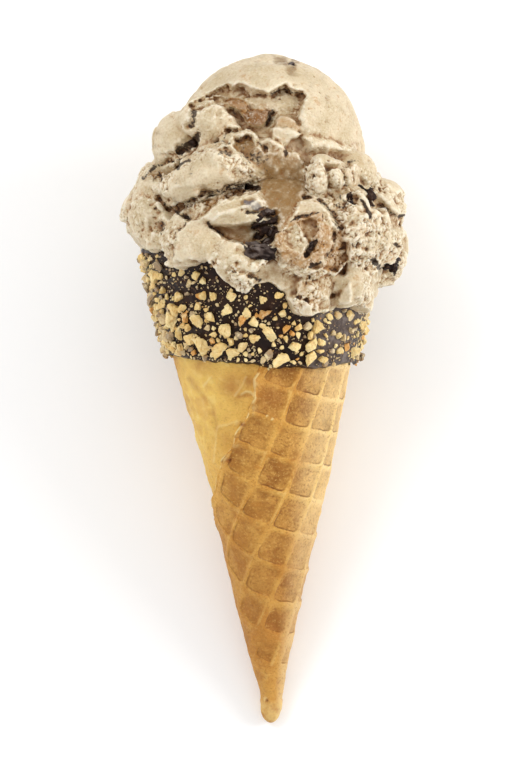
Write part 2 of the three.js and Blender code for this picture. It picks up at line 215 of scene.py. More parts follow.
def throughModifiers(mesh, *modifiers):  # each is a type and its settings
    holder = addObject("holder", mesh)
    for kind, settings in modifiers:
        modifier = holder.modifiers.new(kind.title(), kind)
        for key, value in settings.items():
            setattr(modifier, key, value)
    shown = holder.evaluated_get(bpy.context.evaluated_depsgraph_get())
    result = bpy.data.meshes.new_from_object(shown)
    bpy.data.objects.remove(holder)
    return result


def voxels(size):
    return "REMESH", {"mode": "VOXEL", "voxel_size": size, "adaptivity": 0.0, "use_smooth_shade": True}


def smoothing(times):
    return "SMOOTH", {"factor": 0.5, "iterations": times}


def meshNormals(mesh):
    normals = np.empty(len(mesh.vertices) * 3, dtype=np.float32)
    mesh.vertex_normals.foreach_get("vector", normals)
    return normals.reshape(-1, 3).astype(np.float64)


def setAttribute(mesh, name, values):
    layer = mesh.attributes.new(name, "FLOAT", "POINT")
    layer.data.foreach_set("value", np.ascontiguousarray(values, dtype=np.float32))


def finishPiece(name, mesh, material, slot, *nodes):  # to metres and its place, and its CAD ties
    mesh.transform(toWorld)
    mesh.name = name
    mesh.materials.clear()
    mesh.materials.append(material)
    mesh.polygons.foreach_set("use_smooth", np.ones(len(mesh.polygons), dtype=bool))
    mesh.update()
    piece = addObject(name, mesh)
    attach(piece, "root")
    if nodes:
        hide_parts(*nodes)
    return piece


# Colours and materials
def colour(red, green, blue):  # from screen values
    def linear(value):
        share = value / 255
        return share / 12.92 if share < 0.04045 else ((share + 0.055) / 1.055) ** 2.4
    return linear(red), linear(green), linear(blue), 1.0


class Link:  # a node's output, to reckon with
    def __init__(self, shader, output):
        self.shader, self.output = shader, output

    def reckon(self, operation, first, second):
        return self.shader.node("Math", {"operation": operation}, {0: first, 1: second})

    def __add__(self, other):
        return self.reckon("ADD", self, other)

    def __radd__(self, other):
        return self.reckon("ADD", other, self)

    def __sub__(self, other):
        return self.reckon("SUBTRACT", self, other)

    def __rsub__(self, other):
        return self.reckon("SUBTRACT", other, self)

    def __mul__(self, other):
        return self.reckon("MULTIPLY", self, other)

    def __rmul__(self, other):
        return self.reckon("MULTIPLY", other, self)


class Shader:
    def __init__(self, name):
        self.material = bpy.data.materials.new(name)
        self.material.use_nodes = True
        self.tree = self.material.node_tree
        self.tree.nodes.clear()
        self.places = self.node("TexCoord", output="Object")

    def node(self, kind, settings=None, inputs=None, output=0):
        made = self.tree.nodes.new("ShaderNode" + kind)
        for name, value in (settings or {}).items():
            setattr(made, name, value)
        for name, value in (inputs or {}).items():
            if isinstance(value, Link):
                self.tree.links.new(value.output, made.inputs[name])
            else:
                made.inputs[name].default_value = value
        return Link(self, made.outputs[output]) if made.outputs else None

    def attribute(self, name):
        return self.node("Attribute", {"attribute_name": name}, output="Fac")

    def noise(self, size, detail=2.0, rough=0.5):  # size in mm
        return self.node("TexNoise", {}, {"Vector": self.places, "Scale": 1000 / size,
                                          "Detail": detail, "Roughness": rough}, "Fac")

    def spread(self, value, low, high, start=0.0, end=1.0):
        return self.node("MapRange", {"interpolation_type": "SMOOTHSTEP"},
                         {"Value": value, "From Min": low, "From Max": high, "To Min": start, "To Max": end})

    def mix(self, factor, first, second):
        return self.node("Mix", {"data_type": "RGBA"}, {0: factor, 6: first, 7: second}, 2)

    def layers(self, base, *layers):  # each has a factor and red, green and blue
        for factor, *tone in layers:
            base = self.mix(factor, base, colour(*tone))
        return base

    def bump(self, height, distance, strength):  # distance in mm
        return self.node("Bump", {}, {"Height": height, "Distance": distance / 1000,
                                      "Strength": strength}, "Normal")

    def finish(self, settings):
        surface = self.node("BsdfPrincipled", {}, settings)
        self.node("OutputMaterial", {}, {"Surface": surface})
        return self.material


# The cone's shape, as the solids have it
def edgeAngle(heights):
    return np.interp(heights, coneShape["edgeHeights"], coneShape["edgeAngles"])


def straightRadius(heights):
    return coneShape["rimRadius"] - (coneShape["length"] - heights) * taper


def sheetRadius(heights, share):  # outside, stepping down at its own edge
    lap = coneShape["sheetStep"] * smoothStep(heights, *coneShape["lapStart"])
    lap = lap * (1 - smoothStep(heights, *coneShape["lapEnd"]))
    knob = np.exp(-((heights - coneShape["knobHeight"]) / coneShape["knobReach"]) ** 2)
    end = np.clip(1 - heights / coneShape["tipRound"], 0, 1)
    body = (straightRadius(heights) + coneShape["tipSwell"] * knob) * np.sqrt(1 - end * end)
    return body + lap * (0.5 - share)


def insideRadius(heights):
    wide = coneShape["rimRadius"] - coneShape["rimWall"]
    return wide * (heights - coneShape["solidTip"]) / (coneShape["length"] - coneShape["solidTip"])


def coatRadius(angles, heights):  # outside of the chocolate
    share = ((angles - edgeAngle(heights)) / 360) % 1.0
    return sheetRadius(heights, share) + coneShape["gap"] + coneShape["dipThickness"]


def aroundAxis(angles, radius, heights):
    turn = np.radians(angles)
    return np.stack([radius * np.sin(turn), heights * np.ones_like(turn), radius * np.cos(turn)], axis=-1)


def onAxis(points):  # angle, radius and height of points
    angles = np.degrees(np.arctan2(points[:, 0], points[:, 2]))
    return angles, np.hypot(points[:, 0], points[:, 2]), points[:, 1]


# The ice cream's lower edge over the rim: angle, height
hemPath = [
    (-180, 140), (-150, 143), (-120, 147), (-95, 150), (-78, 152), (-66, 152.7), (-52, 152.7),
    (-48.3, 150.5), (-44, 148.2), (-38, 148), (-32, 149.6), (-25, 150.4), (-21, 149), (-17.5, 146),
    (-14, 142.5), (-8, 140.3), (-4.5, 142.8), (-1, 143.6), (6, 142), (11, 139.5), (15, 134.5),
    (22, 132.3), (32, 134), (44, 135), (54, 133.6), (60, 131.8), (70, 132), (82, 135), (92, 139),
    (130, 138), (155, 143), (180, 140),
]

iceCream = {
    "cell": 13.0,              # size of the broken lumps
    "cellRise": 1.3,
    "cellTilt": 0.16,
    "crackWidth": 1.1,
    "crackDepth": 1.6,
    "wave": 0.55,
    "flatten": 0.45,           # how flat a broken face is
    "crumb": 2.3,              # size of the crumbs
    "crumbRise": 0.7,
    "grain": 1.1,
    "grainRise": 0.42,
    "tearDepth": 0.3,
    "skirt": 1.2,              # how far the hem stands off the chocolate
    "pit": 4.2,
    "pitDepth": 0.6,
    "hemHold": (149, 157),     # heights over which the coat stops pushing it out
    "hiddenBelow": 165,        # what is inside the cone doesn't show below this height
    "chunkReach": 11,
    "chunkStand": 0.75,        # how far a chocolate chunk stands out
}
iceCreamFields = ("rough", "warm", "grey", "dark", "hollow", "deep")  # for the colours

# A patch is a broken face, a hollow or a smooth slab, and a stroke a groove or a ridge.
# Both lie on the front plane and are in mm. A patch leans to the right and up, ragged says
# how torn its outline is, and streak has the height and turn of the lines along it.
# A stroke has width, depth, dark, grey and its path. Dark and grey are partly the chocolate and stains, and
# partly painted shade in grooves, hollows and under ledges.
patchDefaults = {"lean": (0.0, 0.0), "crown": 0.0, "warm": 0.0, "grey": 0.0, "dark": 0.0,
                 "streak": (0.0, 0.0)}

bottomScoop = {
    "centre": (2, 157, -2),
    "lobes": [                 # middle, size and turn
        ((2, 157, -2), (41, 25, 44), 0),               # the body
        ((1.5, 151, -2), (36.5, 27, 40), 0),           # its lower half, over the rim
        ((-32, 164, 8), (10.4, 12.5, 15), 0),          # left cheek
        ((-29.5, 157, 14), (8, 9, 11), 0),
        ((-30, 172, 10), (9, 8, 12), 0),
        ((-18.7, 154, 30), (12, 13, 9), 0),            # smooth tongue
        ((-6.6, 150.7, 35), (13, 8, 8), 0),            # slab in the middle
        ((-8.7, 166.3, 33), (13, 6, 8), 0),            # pale leaf above it
        ((13.1, 156.2, 33), (13, 12, 9), 0),           # rough lobe
        ((12.2, 137, 31), (9, 8, 6), 0),               # lump at its foot
        ((-6.8, 144.3, 35), (5, 4.5, 4), 0),           # crumb lump on the chocolate
        ((26.5, 141, 20), (9, 12, 12), 0),             # lower right
        ((34.5, 154.5, 7), (9.8, 8.2, 13), 0),         # right cheek
        ((36, 166, 6), (9.4, 9, 12), 0),
        ((27, 159, 24), (11, 13, 12), 0),
    ],
    "back": {"count": 11, "from": 100, "to": 262, "low": 147, "high": 171, "reach": 31, "size": 12,
             "seed": 7},
    "voxel": 0.6, "fineVoxel": 0.5, "triangles": 196000, "floor": None,
    "brokenness": lambda points: np.ones(len(points)),
    "roughness": lambda points: np.full(len(points), 0.9),
    "patches": {
        "slabFoot": {"rise": 0.9, "crown": 0.8, "edge": 0.6, "ragged": 0.6, "rough": 0.25, "warm": 0.05,
            "outline": [(-37.6, 63.1), (-34.1, 65.0), (-30.9, 63.1), (-28.4, 59.4), (-25.3, 56.2),
            (-23.7, 53.7), (-26.5, 54.3), (-30.9, 56.5), (-34.7, 59.7)]},
        "cheekFacet": {"rise": 0.8, "lean": (-0.05, 0.05), "crown": 0.8, "edge": 0.5, "ragged": 0.9,
            "rough": 0.3, "warm": -0.35, "outline": [(-43.6, 58.1), (-39.8, 59.4), (-36.0, 57.5),
            (-33.5, 54.3), (-34.1, 49.2), (-36.6, 46.1), (-40.4, 45.5), (-43.6, 49.9)]},
        "cheekLow": {"rise": 0.9, "crown": 0.8, "edge": 0.5, "ragged": 0.9, "rough": 0.5, "warm": 0.15,
            "outline": [(-33.5, 51.1), (-30.3, 51.8), (-28.7, 49.2), (-29.7, 44.2), (-31.6, 42.9),
            (-34.1, 45.5)]},
        "underCheek": {"rise": -1.4, "lean": (0.0, -0.15), "edge": 0.6, "ragged": 1.0, "rough": 0.7,
            "warm": 0.35, "grey": 0.45, "dark": 0.12, "outline": [(-38.5, 66.9), (-36.6, 69.8),
            (-33.5, 70.1), (-30.3, 70.4), (-27.8, 70.7), (-28.4, 68.2), (-30.3, 66.0), (-31.6, 64.1),
            (-33.5, 64.4), (-36.0, 65.0), (-37.9, 64.4)]},
        "roughWall": {"rise": -5.0, "lean": (0.0, -0.2), "edge": 0.5, "ragged": 1.2, "rough": 1.0,
            "warm": 0.5, "grey": 0.2, "dark": 0.4, "outline": [(-29.7, 56.2), (-26.2, 57.5), (-22.4, 58.4),
            (-17.7, 60.6), (-12.6, 61.9), (-8.2, 63.1), (-4.1, 63.1), (-1.9, 61.2), (-3.2, 60.3),
            (-7.6, 59.7), (-11.7, 58.1), (-16.1, 56.2), (-19.3, 53.7), (-22.1, 51.1), (-25.9, 53.0),
            (-28.4, 54.3)]},
        "wallFoot": {"rise": -3.4, "lean": (0.0, -0.2), "crown": 0.5, "edge": 0.5, "ragged": 1.2,
            "rough": 1.0, "warm": 0.25, "grey": 0.1, "dark": 0.12, "outline": [(-27.2, 54.3), (-24.0, 56.2),
            (-20.8, 56.8), (-18.9, 55.6), (-19.9, 53.7), (-21.5, 51.8), (-24.0, 52.1), (-26.2, 52.7)]},
        "tongue": {"rise": 2.0, "lean": (0.0, -0.04), "crown": 1.2, "edge": 0.35, "ragged": 0.5,
            "rough": 0.08, "outline": [(-26.5, 50.5), (-24.6, 51.8), (-21.8, 52.1), (-18.6, 51.1),
            (-16.4, 48.6), (-13.3, 45.8), (-14.5, 42.9), (-16.7, 38.8), (-19.3, 38.8), (-21.5, 38.5),
            (-23.0, 36.9), (-24.6, 36.9), (-27.8, 38.2), (-29.7, 37.9), (-29.4, 43.6), (-28.1, 48.6)]},
        "hollow": {"rise": -4.4, "lean": (-0.16, 0.0), "edge": 0.35, "ragged": 0.3, "rough": 0.0,
            "warm": 0.4, "grey": 0.5, "streak": (0.4, -12), "outline": [(-18.6, 51.1), (-15.2, 49.9),
            (-11.4, 49.6), (-6.6, 50.5), (-1.3, 50.5), (1.3, 49.9), (0.6, 44.2), (-3.2, 43.6), (-8.2, 44.8),
            (-12.6, 46.1), (-16.4, 48.6)]},
        "leaf": {"rise": 1.9, "lean": (-0.02, -0.04), "crown": 1.0, "edge": 0.28, "ragged": 0.35,
            "rough": 0.04, "warm": -0.05, "outline": [(-19.9, 52.7), (-18.3, 54.6), (-16.4, 56.2),
            (-13.9, 57.1), (-11.4, 58.1), (-7.6, 59.7), (-2.8, 60.6), (-0.9, 59.7), (1.3, 57.1), (0.0, 54.9),
            (-1.3, 51.1), (-5.4, 50.5), (-11.4, 49.9), (-15.8, 50.5)]},
        "slabLow": {"rise": 1.7, "lean": (0.0, 0.02), "crown": 0.8, "edge": 0.35, "ragged": 0.7,
            "rough": 0.14, "warm": 0.15, "outline": [(-15.8, 42.3), (-13.3, 45.5), (-10.7, 45.5),
            (-7.6, 44.2), (-4.4, 40.7), (-1.3, 38.5), (-0.6, 37.9), (-2.2, 36.6), (-3.2, 35.0), (-4.4, 35.0),
            (-8.2, 35.7), (-12.6, 35.7), (-15.8, 37.9)]},
        "crumbLump": {"rise": 2.0, "crown": 1.4, "edge": 0.35, "ragged": 1.2, "rough": 1.0, "warm": -0.25,
            "outline": [(-12.9, 35.7), (-10.7, 36.6), (-6.9, 35.4), (-4.4, 33.8), (-3.8, 31.6), (-4.4, 29.4),
            (-6.3, 28.1), (-8.8, 28.7), (-11.0, 30.6), (-12.0, 33.1)]},
        "smearLow": {"rise": 0.8, "lean": (0.0, 0.03), "crown": 0.6, "edge": 1.6, "ragged": 0.8,
            "rough": 0.08, "warm": 0.5, "grey": 0.76, "streak": (0.35, 50), "outline": [(-3.8, 66.0),
            (1.9, 67.2), (7.6, 66.9), (12.6, 64.4), (12.9, 59.7), (10.7, 57.1), (8.2, 53.4), (5.1, 49.2),
            (2.8, 46.7), (1.9, 50.5), (0.3, 55.6)]},
        "foldPlate": {"rise": 1.5, "lean": (0.1, 0.06), "crown": 0.6, "edge": 0.4, "ragged": 0.4,
            "rough": 0.15, "warm": 0.25, "outline": [(11.4, 58.7), (14.5, 58.1), (17.7, 56.8), (20.2, 54.6),
            (22.4, 51.5), (23.4, 48.0), (20.8, 49.2), (18.3, 52.1), (15.2, 54.3), (11.4, 54.0), (8.8, 51.8),
            (6.3, 49.6), (4.4, 48.3), (7.9, 53.4)]},
        "roughLobe": {"rise": 1.7, "lean": (0.02, 0.04), "crown": 1.2, "edge": 0.32, "ragged": 1.2,
            "rough": 0.9, "warm": 0.65, "outline": [(2.8, 45.5), (4.1, 48.0), (6.3, 49.6), (8.8, 51.5),
            (12.0, 53.0), (15.2, 53.7), (18.3, 52.1), (21.2, 48.9), (20.2, 47.4), (21.5, 44.5), (20.5, 42.3),
            (18.3, 39.8), (14.5, 37.3), (10.1, 36.0), (6.3, 37.9), (3.8, 41.0)]},
        "smoothSpot": {"rise": -0.7, "crown": 0.3, "edge": 0.4, "ragged": 0.8, "rough": 0.2, "warm": 0.4,
            "grey": 0.45, "outline": [(11.0, 51.1), (13.6, 52.4), (15.8, 51.8), (16.1, 48.9), (15.2, 46.1),
            (13.3, 44.8), (12.0, 46.7), (11.7, 48.9)]},
        "lobeFacet": {"rise": 0.9, "lean": (0.1, 0.0), "crown": 0.3, "edge": 0.35, "ragged": 0.8,
            "rough": 0.4, "warm": 0.1, "outline": [(6.0, 48.0), (8.8, 49.9), (11.0, 48.9), (12.3, 45.5),
            (13.3, 43.3), (11.0, 41.7), (8.2, 42.3), (6.3, 44.5)]},
        "deepHollow": {"rise": -2.7, "lean": (0.06, 0.0), "edge": 0.8, "ragged": 1.6, "rough": 1.0,
            "warm": 0.6, "grey": 0.15, "dark": 0.2, "outline": [(20.8, 48.3), (23.4, 48.6), (24.9, 45.5),
            (25.3, 41.7), (26.2, 37.9), (25.3, 35.4), (22.7, 34.4), (19.9, 36.0), (17.0, 36.6), (19.3, 39.5),
            (21.2, 42.3), (21.8, 44.8)]},
        "bowl": {"rise": -1.8, "lean": (0.0, 0.05), "crown": -0.5, "edge": 0.7, "ragged": 0.6, "rough": 0.03,
            "warm": 0.25, "grey": 0.35, "streak": (0.2, 20), "outline": [(-3.8, 34.1), (-1.3, 36.6),
            (1.9, 37.9), (6.3, 36.9), (8.8, 35.4), (10.1, 32.8), (7.6, 29.0), (4.4, 27.5), (0.6, 29.7),
            (-2.5, 31.6)]},
        "strip": {"rise": 0.8, "lean": (0.1, 0.1), "crown": 0.5, "edge": 0.4, "ragged": 0.9, "rough": 0.6,
            "warm": 0.1, "outline": [(3.8, 38.5), (7.6, 37.3), (12.0, 36.0), (14.5, 36.6), (13.3, 34.1),
            (10.7, 32.8), (8.2, 34.1), (5.1, 36.0)]},
        "crumbsLow": {"rise": 1.6, "crown": 0.8, "edge": 0.4, "ragged": 1.5, "rough": 1.0, "warm": 0.32,
            "grey": 0.1, "outline": [(8.8, 29.0), (11.4, 32.8), (13.9, 35.0), (17.7, 36.0), (20.5, 34.7),
            (21.5, 31.9), (20.2, 29.0), (18.6, 26.5), (17.0, 23.4), (14.5, 22.1), (12.6, 20.8), (9.8, 22.7),
            (7.9, 25.9)]},
        "ledgeLow": {"rise": -0.8, "lean": (0.0, 0.1), "crown": 0.3, "edge": 0.4, "ragged": 0.6,
            "rough": 0.1, "warm": 0.2, "grey": 0.2, "outline": [(16.4, 25.3), (18.9, 26.8), (21.5, 27.8),
            (23.4, 26.5), (23.4, 24.0), (20.2, 24.0), (17.0, 22.7)]},
        "cube": {"rise": 2.8, "lean": (0.0, -0.05), "crown": 0.1, "edge": 0.25, "ragged": 0.2, "rough": 0.0,
            "warm": -0.15, "outline": [(10.7, 23.0), (12.6, 25.6), (14.8, 24.6), (14.2, 21.8),
            (12.3, 20.5)]},
        "wedge": {"rise": 2.4, "lean": (0.22, 0.02), "crown": 0.1, "edge": 0.3, "ragged": 0.3, "rough": 0.0,
            "warm": 0.05, "grey": 0.15, "outline": [(22.1, 26.5), (23.7, 29.4), (25.6, 32.5), (27.2, 31.6),
            (27.5, 25.3), (24.6, 24.3), (22.7, 24.9)]},
        "rightField": {"rise": 0.6, "crown": 0.6, "edge": 0.8, "ragged": 1.2, "rough": 1.0, "warm": 0.2,
            "dark": 0.36, "outline": [(27.2, 51.1), (31.6, 53.7), (35.4, 54.3), (39.8, 51.1), (42.3, 47.4),
            (42.0, 42.3), (40.4, 39.8), (37.3, 38.5), (34.7, 36.0), (30.3, 35.4), (27.2, 37.3), (26.5, 42.3),
            (25.3, 46.7)]},
        "lipRidge": {"rise": 2.0, "crown": 1.2, "edge": 0.4, "ragged": 0.6, "rough": 0.12,
            "outline": [(34.1, 60.6), (36.6, 61.2), (39.8, 58.7), (42.0, 56.2), (42.9, 53.7), (41.7, 52.4),
            (39.8, 53.4), (37.3, 55.9), (34.7, 58.4)]},
    },
    "strokes": {
        "slabRim": (0.5, -0.5, 0.0, 0.0, [(-24.9, 59.4), (-21.5, 60.3), (-18.9, 61.4), (-14.2, 62.7),
            (-10.4, 63.3)]),
        "wallTop": (1.0, 1.6, 0.95, 0.0, [(-24.6, 57.8), (-21.8, 58.7), (-18.9, 59.7), (-15.8, 60.6),
            (-11.7, 61.6), (-8.2, 62.7), (-4.7, 63.0), (-2.2, 61.6)]),
        "cheekLedge": (0.8, 1.2, 0.7, 0.0, [(-38.5, 65.0), (-37.3, 67.2), (-35.4, 68.8), (-32.5, 69.5)]),
        "cheekLedgeTwo": (1.0, 1.6, 0.8, 0.0, [(-33.5, 66.6), (-32.5, 65.0), (-32.2, 63.8)]),
        "cheekPits": (0.9, 1.4, 0.6, 0.0, [(-35.0, 65.7), (-35.7, 64.1)]),
        "slateSmear": (1.6, 0.1, 0.0, 2.0, [(-6.9, 57.5), (-4.4, 56.5), (-1.3, 54.9), (0.6, 54.3)]),
        "slateSmearTwo": (0.8, 0.4, 0.85, 0.0, [(-5.7, 54.6), (-3.2, 54.3)]),
        "tongueSide": (0.6, 1.6, 0.5, 0.0, [(-26.5, 50.5), (-28.1, 48.0), (-28.7, 44.2), (-29.4, 39.8)]),
        "amberPits": (1.1, 1.4, 0.4, 0.0, [(-33.5, 51.1), (-33.5, 48.6), (-32.5, 46.1)]),
        "amberPitsTwo": (0.9, 1.2, 0.35, 0.0, [(-30.9, 49.9), (-29.7, 47.4)]),
        "cheekCrease": (0.7, 2.6, 0.6, 0.0, [(-36.6, 61.2), (-34.1, 58.7), (-31.6, 56.5), (-28.4, 54.6),
            (-25.9, 53.7), (-24.0, 52.7)]),
        "creaseEnd": (0.8, 2.4, 0.6, 0.0, [(-24.0, 52.7), (-25.9, 51.1), (-27.2, 48.6)]),
        "creaseDark": (1.0, 1.8, 0.9, 0.0, [(-27.8, 54.3), (-25.9, 53.4), (-24.3, 52.7)]),
        "cheekHole": (0.9, 2.0, 0.6, 0.0, [(-32.5, 51.5), (-32.5, 49.2), (-33.1, 46.7)]),
        "cheekCrack": (0.5, 1.2, 0.4, 0.0, [(-39.1, 53.4), (-38.8, 49.2), (-39.1, 46.4)]),
        "cheekCrackTwo": (0.6, 1.2, 0.4, 0.0, [(-36.6, 51.1), (-36.0, 48.6), (-36.6, 46.1)]),
        "cheekStain": (0.9, 1.0, 0.5, 0.0, [(-36.0, 56.5), (-34.7, 55.2), (-32.8, 54.0)]),
        "leafRidge": (1.0, -0.7, 0.0, 0.0, [(-17.7, 51.5), (-13.9, 53.7), (-9.5, 55.2), (-5.1, 56.2),
            (-1.3, 58.1)]),
        "leafTop": (0.7, -0.4, 0.0, 0.0, [(-13.9, 56.5), (-9.5, 57.8), (-5.7, 58.7), (-2.5, 59.7)]),
        "hollowRoot": (0.8, 2.4, 0.8, 0.0, [(-18.3, 50.8), (-16.1, 48.9), (-14.2, 47.4)]),
        "hollowRim": (0.6, 1.4, 0.4, 0.0, [(-14.2, 47.4), (-11.4, 45.8), (-8.2, 44.5)]),
        "darkCleft": (1.6, 3.0, 0.95, 0.0, [(-3.8, 49.6), (-0.6, 50.2), (2.5, 51.1)]),
        "darkCleftTwo": (1.5, 2.8, 0.95, 0.0, [(-2.8, 46.7), (0.0, 47.7), (2.8, 48.9)]),
        "darkCleftThree": (1.2, 2.4, 0.95, 0.0, [(-1.3, 45.1), (0.6, 45.5), (1.9, 46.1)]),
        "shardBed": (0.9, 1.6, 0.75, 0.0, [(-5.7, 54.6), (-2.5, 54.3), (0.0, 54.0)]),
        "shardBedTwo": (1.5, 2.0, 0.9, 0.0, [(-0.6, 53.0), (0.9, 52.7), (2.8, 52.4)]),
        "shardStain": (1.2, 0.3, 0.3, 0.0, [(-7.3, 57.5), (-5.1, 57.8)]),
        "slateRim": (0.7, 1.4, 0.8, 0.0, [(-7.3, 43.9), (-4.4, 41.0), (-0.6, 38.8)]),
        "foldCrack": (0.6, 2.2, 0.85, 0.0, [(7.9, 51.1), (9.8, 52.4), (12.0, 53.4), (14.8, 54.0)]),
        "foldCrackTwo": (0.5, 1.4, 0.7, 0.0, [(14.8, 54.0), (16.4, 53.4), (17.7, 52.4)]),
        "groove": (1.0, 2.4, 0.62, 0.0, [(11.7, 59.0), (14.2, 58.4), (16.7, 57.5), (18.6, 56.2),
            (20.2, 54.9), (21.8, 52.7), (22.7, 50.5), (23.7, 48.3)]),
        "grooveRim": (0.8, -0.6, 0.0, 0.0, [(12.6, 57.8), (15.2, 56.8), (17.7, 55.6), (19.6, 53.7),
            (21.2, 51.1), (22.1, 48.6)]),
        "smearRidge": (0.8, -0.8, 0.0, 0.0, [(11.7, 58.1), (9.5, 54.3), (6.6, 50.5), (4.4, 48.0)]),
        "smearLine": (0.5, 0.6, 0.15, 0.0, [(11.0, 57.8), (8.5, 53.7), (5.1, 49.2), (3.2, 47.0)]),
        "cliff": (0.8, 2.8, 0.55, 0.0, [(21.2, 48.6), (21.8, 44.8), (21.2, 42.0), (18.9, 39.8)]),
        "cliffLow": (0.8, 2.6, 0.9, 0.0, [(17.0, 38.5), (15.5, 37.9), (13.6, 36.6)]),
        "pitOne": (1.2, 3.0, 1.0, 0.0, [(15.2, 44.5), (14.8, 43.6)]),
        "pitTwo": (1.2, 3.0, 1.0, 0.0, [(13.6, 42.3), (12.9, 41.0)]),
        "fieldRow": (0.7, 1.3, 0.45, 0.0, [(26.2, 50.5), (28.4, 51.5), (30.6, 50.8), (33.1, 51.5)]),
        "fieldRowTwo": (0.7, 1.3, 0.42, 0.0, [(25.3, 47.0), (28.1, 46.4), (30.9, 47.7), (34.1, 46.7),
            (36.6, 48.0), (38.8, 47.4)]),
        "fieldRowThree": (0.7, 1.3, 0.45, 0.0, [(27.2, 42.9), (30.0, 43.9), (32.8, 42.6), (36.0, 43.9),
            (40.1, 43.3)]),
        "fieldRowFour": (0.8, 1.4, 0.48, 0.0, [(24.9, 39.5), (27.2, 38.5), (29.0, 40.1), (30.9, 39.5)]),
        "lipLine": (0.6, 2.0, 0.6, 0.0, [(35.4, 57.1), (38.5, 54.9), (41.0, 52.4), (43.3, 52.1)]),
        "lipEnd": (1.0, 1.6, 0.95, 0.0, [(42.3, 52.7), (43.6, 53.4)]),
        "holeOne": (1.2, 3.0, 0.95, 0.0, [(34.1, 39.1), (35.0, 37.9), (35.7, 36.6)]),
        "holeTwo": (0.9, 2.2, 0.9, 0.0, [(40.7, 44.5), (41.4, 43.9)]),
        "holeThree": (1.1, 2.6, 0.95, 0.0, [(41.4, 37.6), (41.0, 36.0), (40.7, 34.4)]),
        "slateBed": (0.8, 2.4, 0.95, 0.0, [(30.0, 58.4), (31.3, 55.9), (32.8, 53.0)]),
        "slateGap": (0.8, 1.6, 0.7, 0.0, [(28.7, 63.1), (30.9, 62.8), (33.1, 62.5)]),
        "speckleBed": (1.9, 0.8, 0.55, 0.0, [(22.7, 56.2), (24.9, 56.8), (27.5, 58.4)]),
        "lumpGap": (0.6, 1.6, 0.55, 0.0, [(-12.6, 35.7), (-8.2, 35.4), (-4.4, 34.4), (-1.9, 35.4)]),
        "lumpGapTwo": (0.7, 1.8, 0.75, 0.0, [(-5.7, 34.4), (-3.5, 33.8), (-1.9, 33.1)]),
        "stripGap": (0.6, 1.6, 0.6, 0.0, [(8.5, 34.1), (10.7, 32.5), (13.9, 33.5)]),
        "wedgeGap": (0.6, 1.4, 0.3, 0.0, [(22.1, 26.5), (23.7, 29.4), (25.6, 32.5)]),
        "hemCrack": (0.6, 1.6, 0.6, 0.0, [(10.1, 27.8), (12.0, 26.5), (13.3, 25.6)]),
    },
}


def domeShare(points, low, high):  # smooth on top, and lower down on the right
    return smoothStep(points[:, 1] + 0.6 * np.maximum(points[:, 0] - 12, 0), low, high)


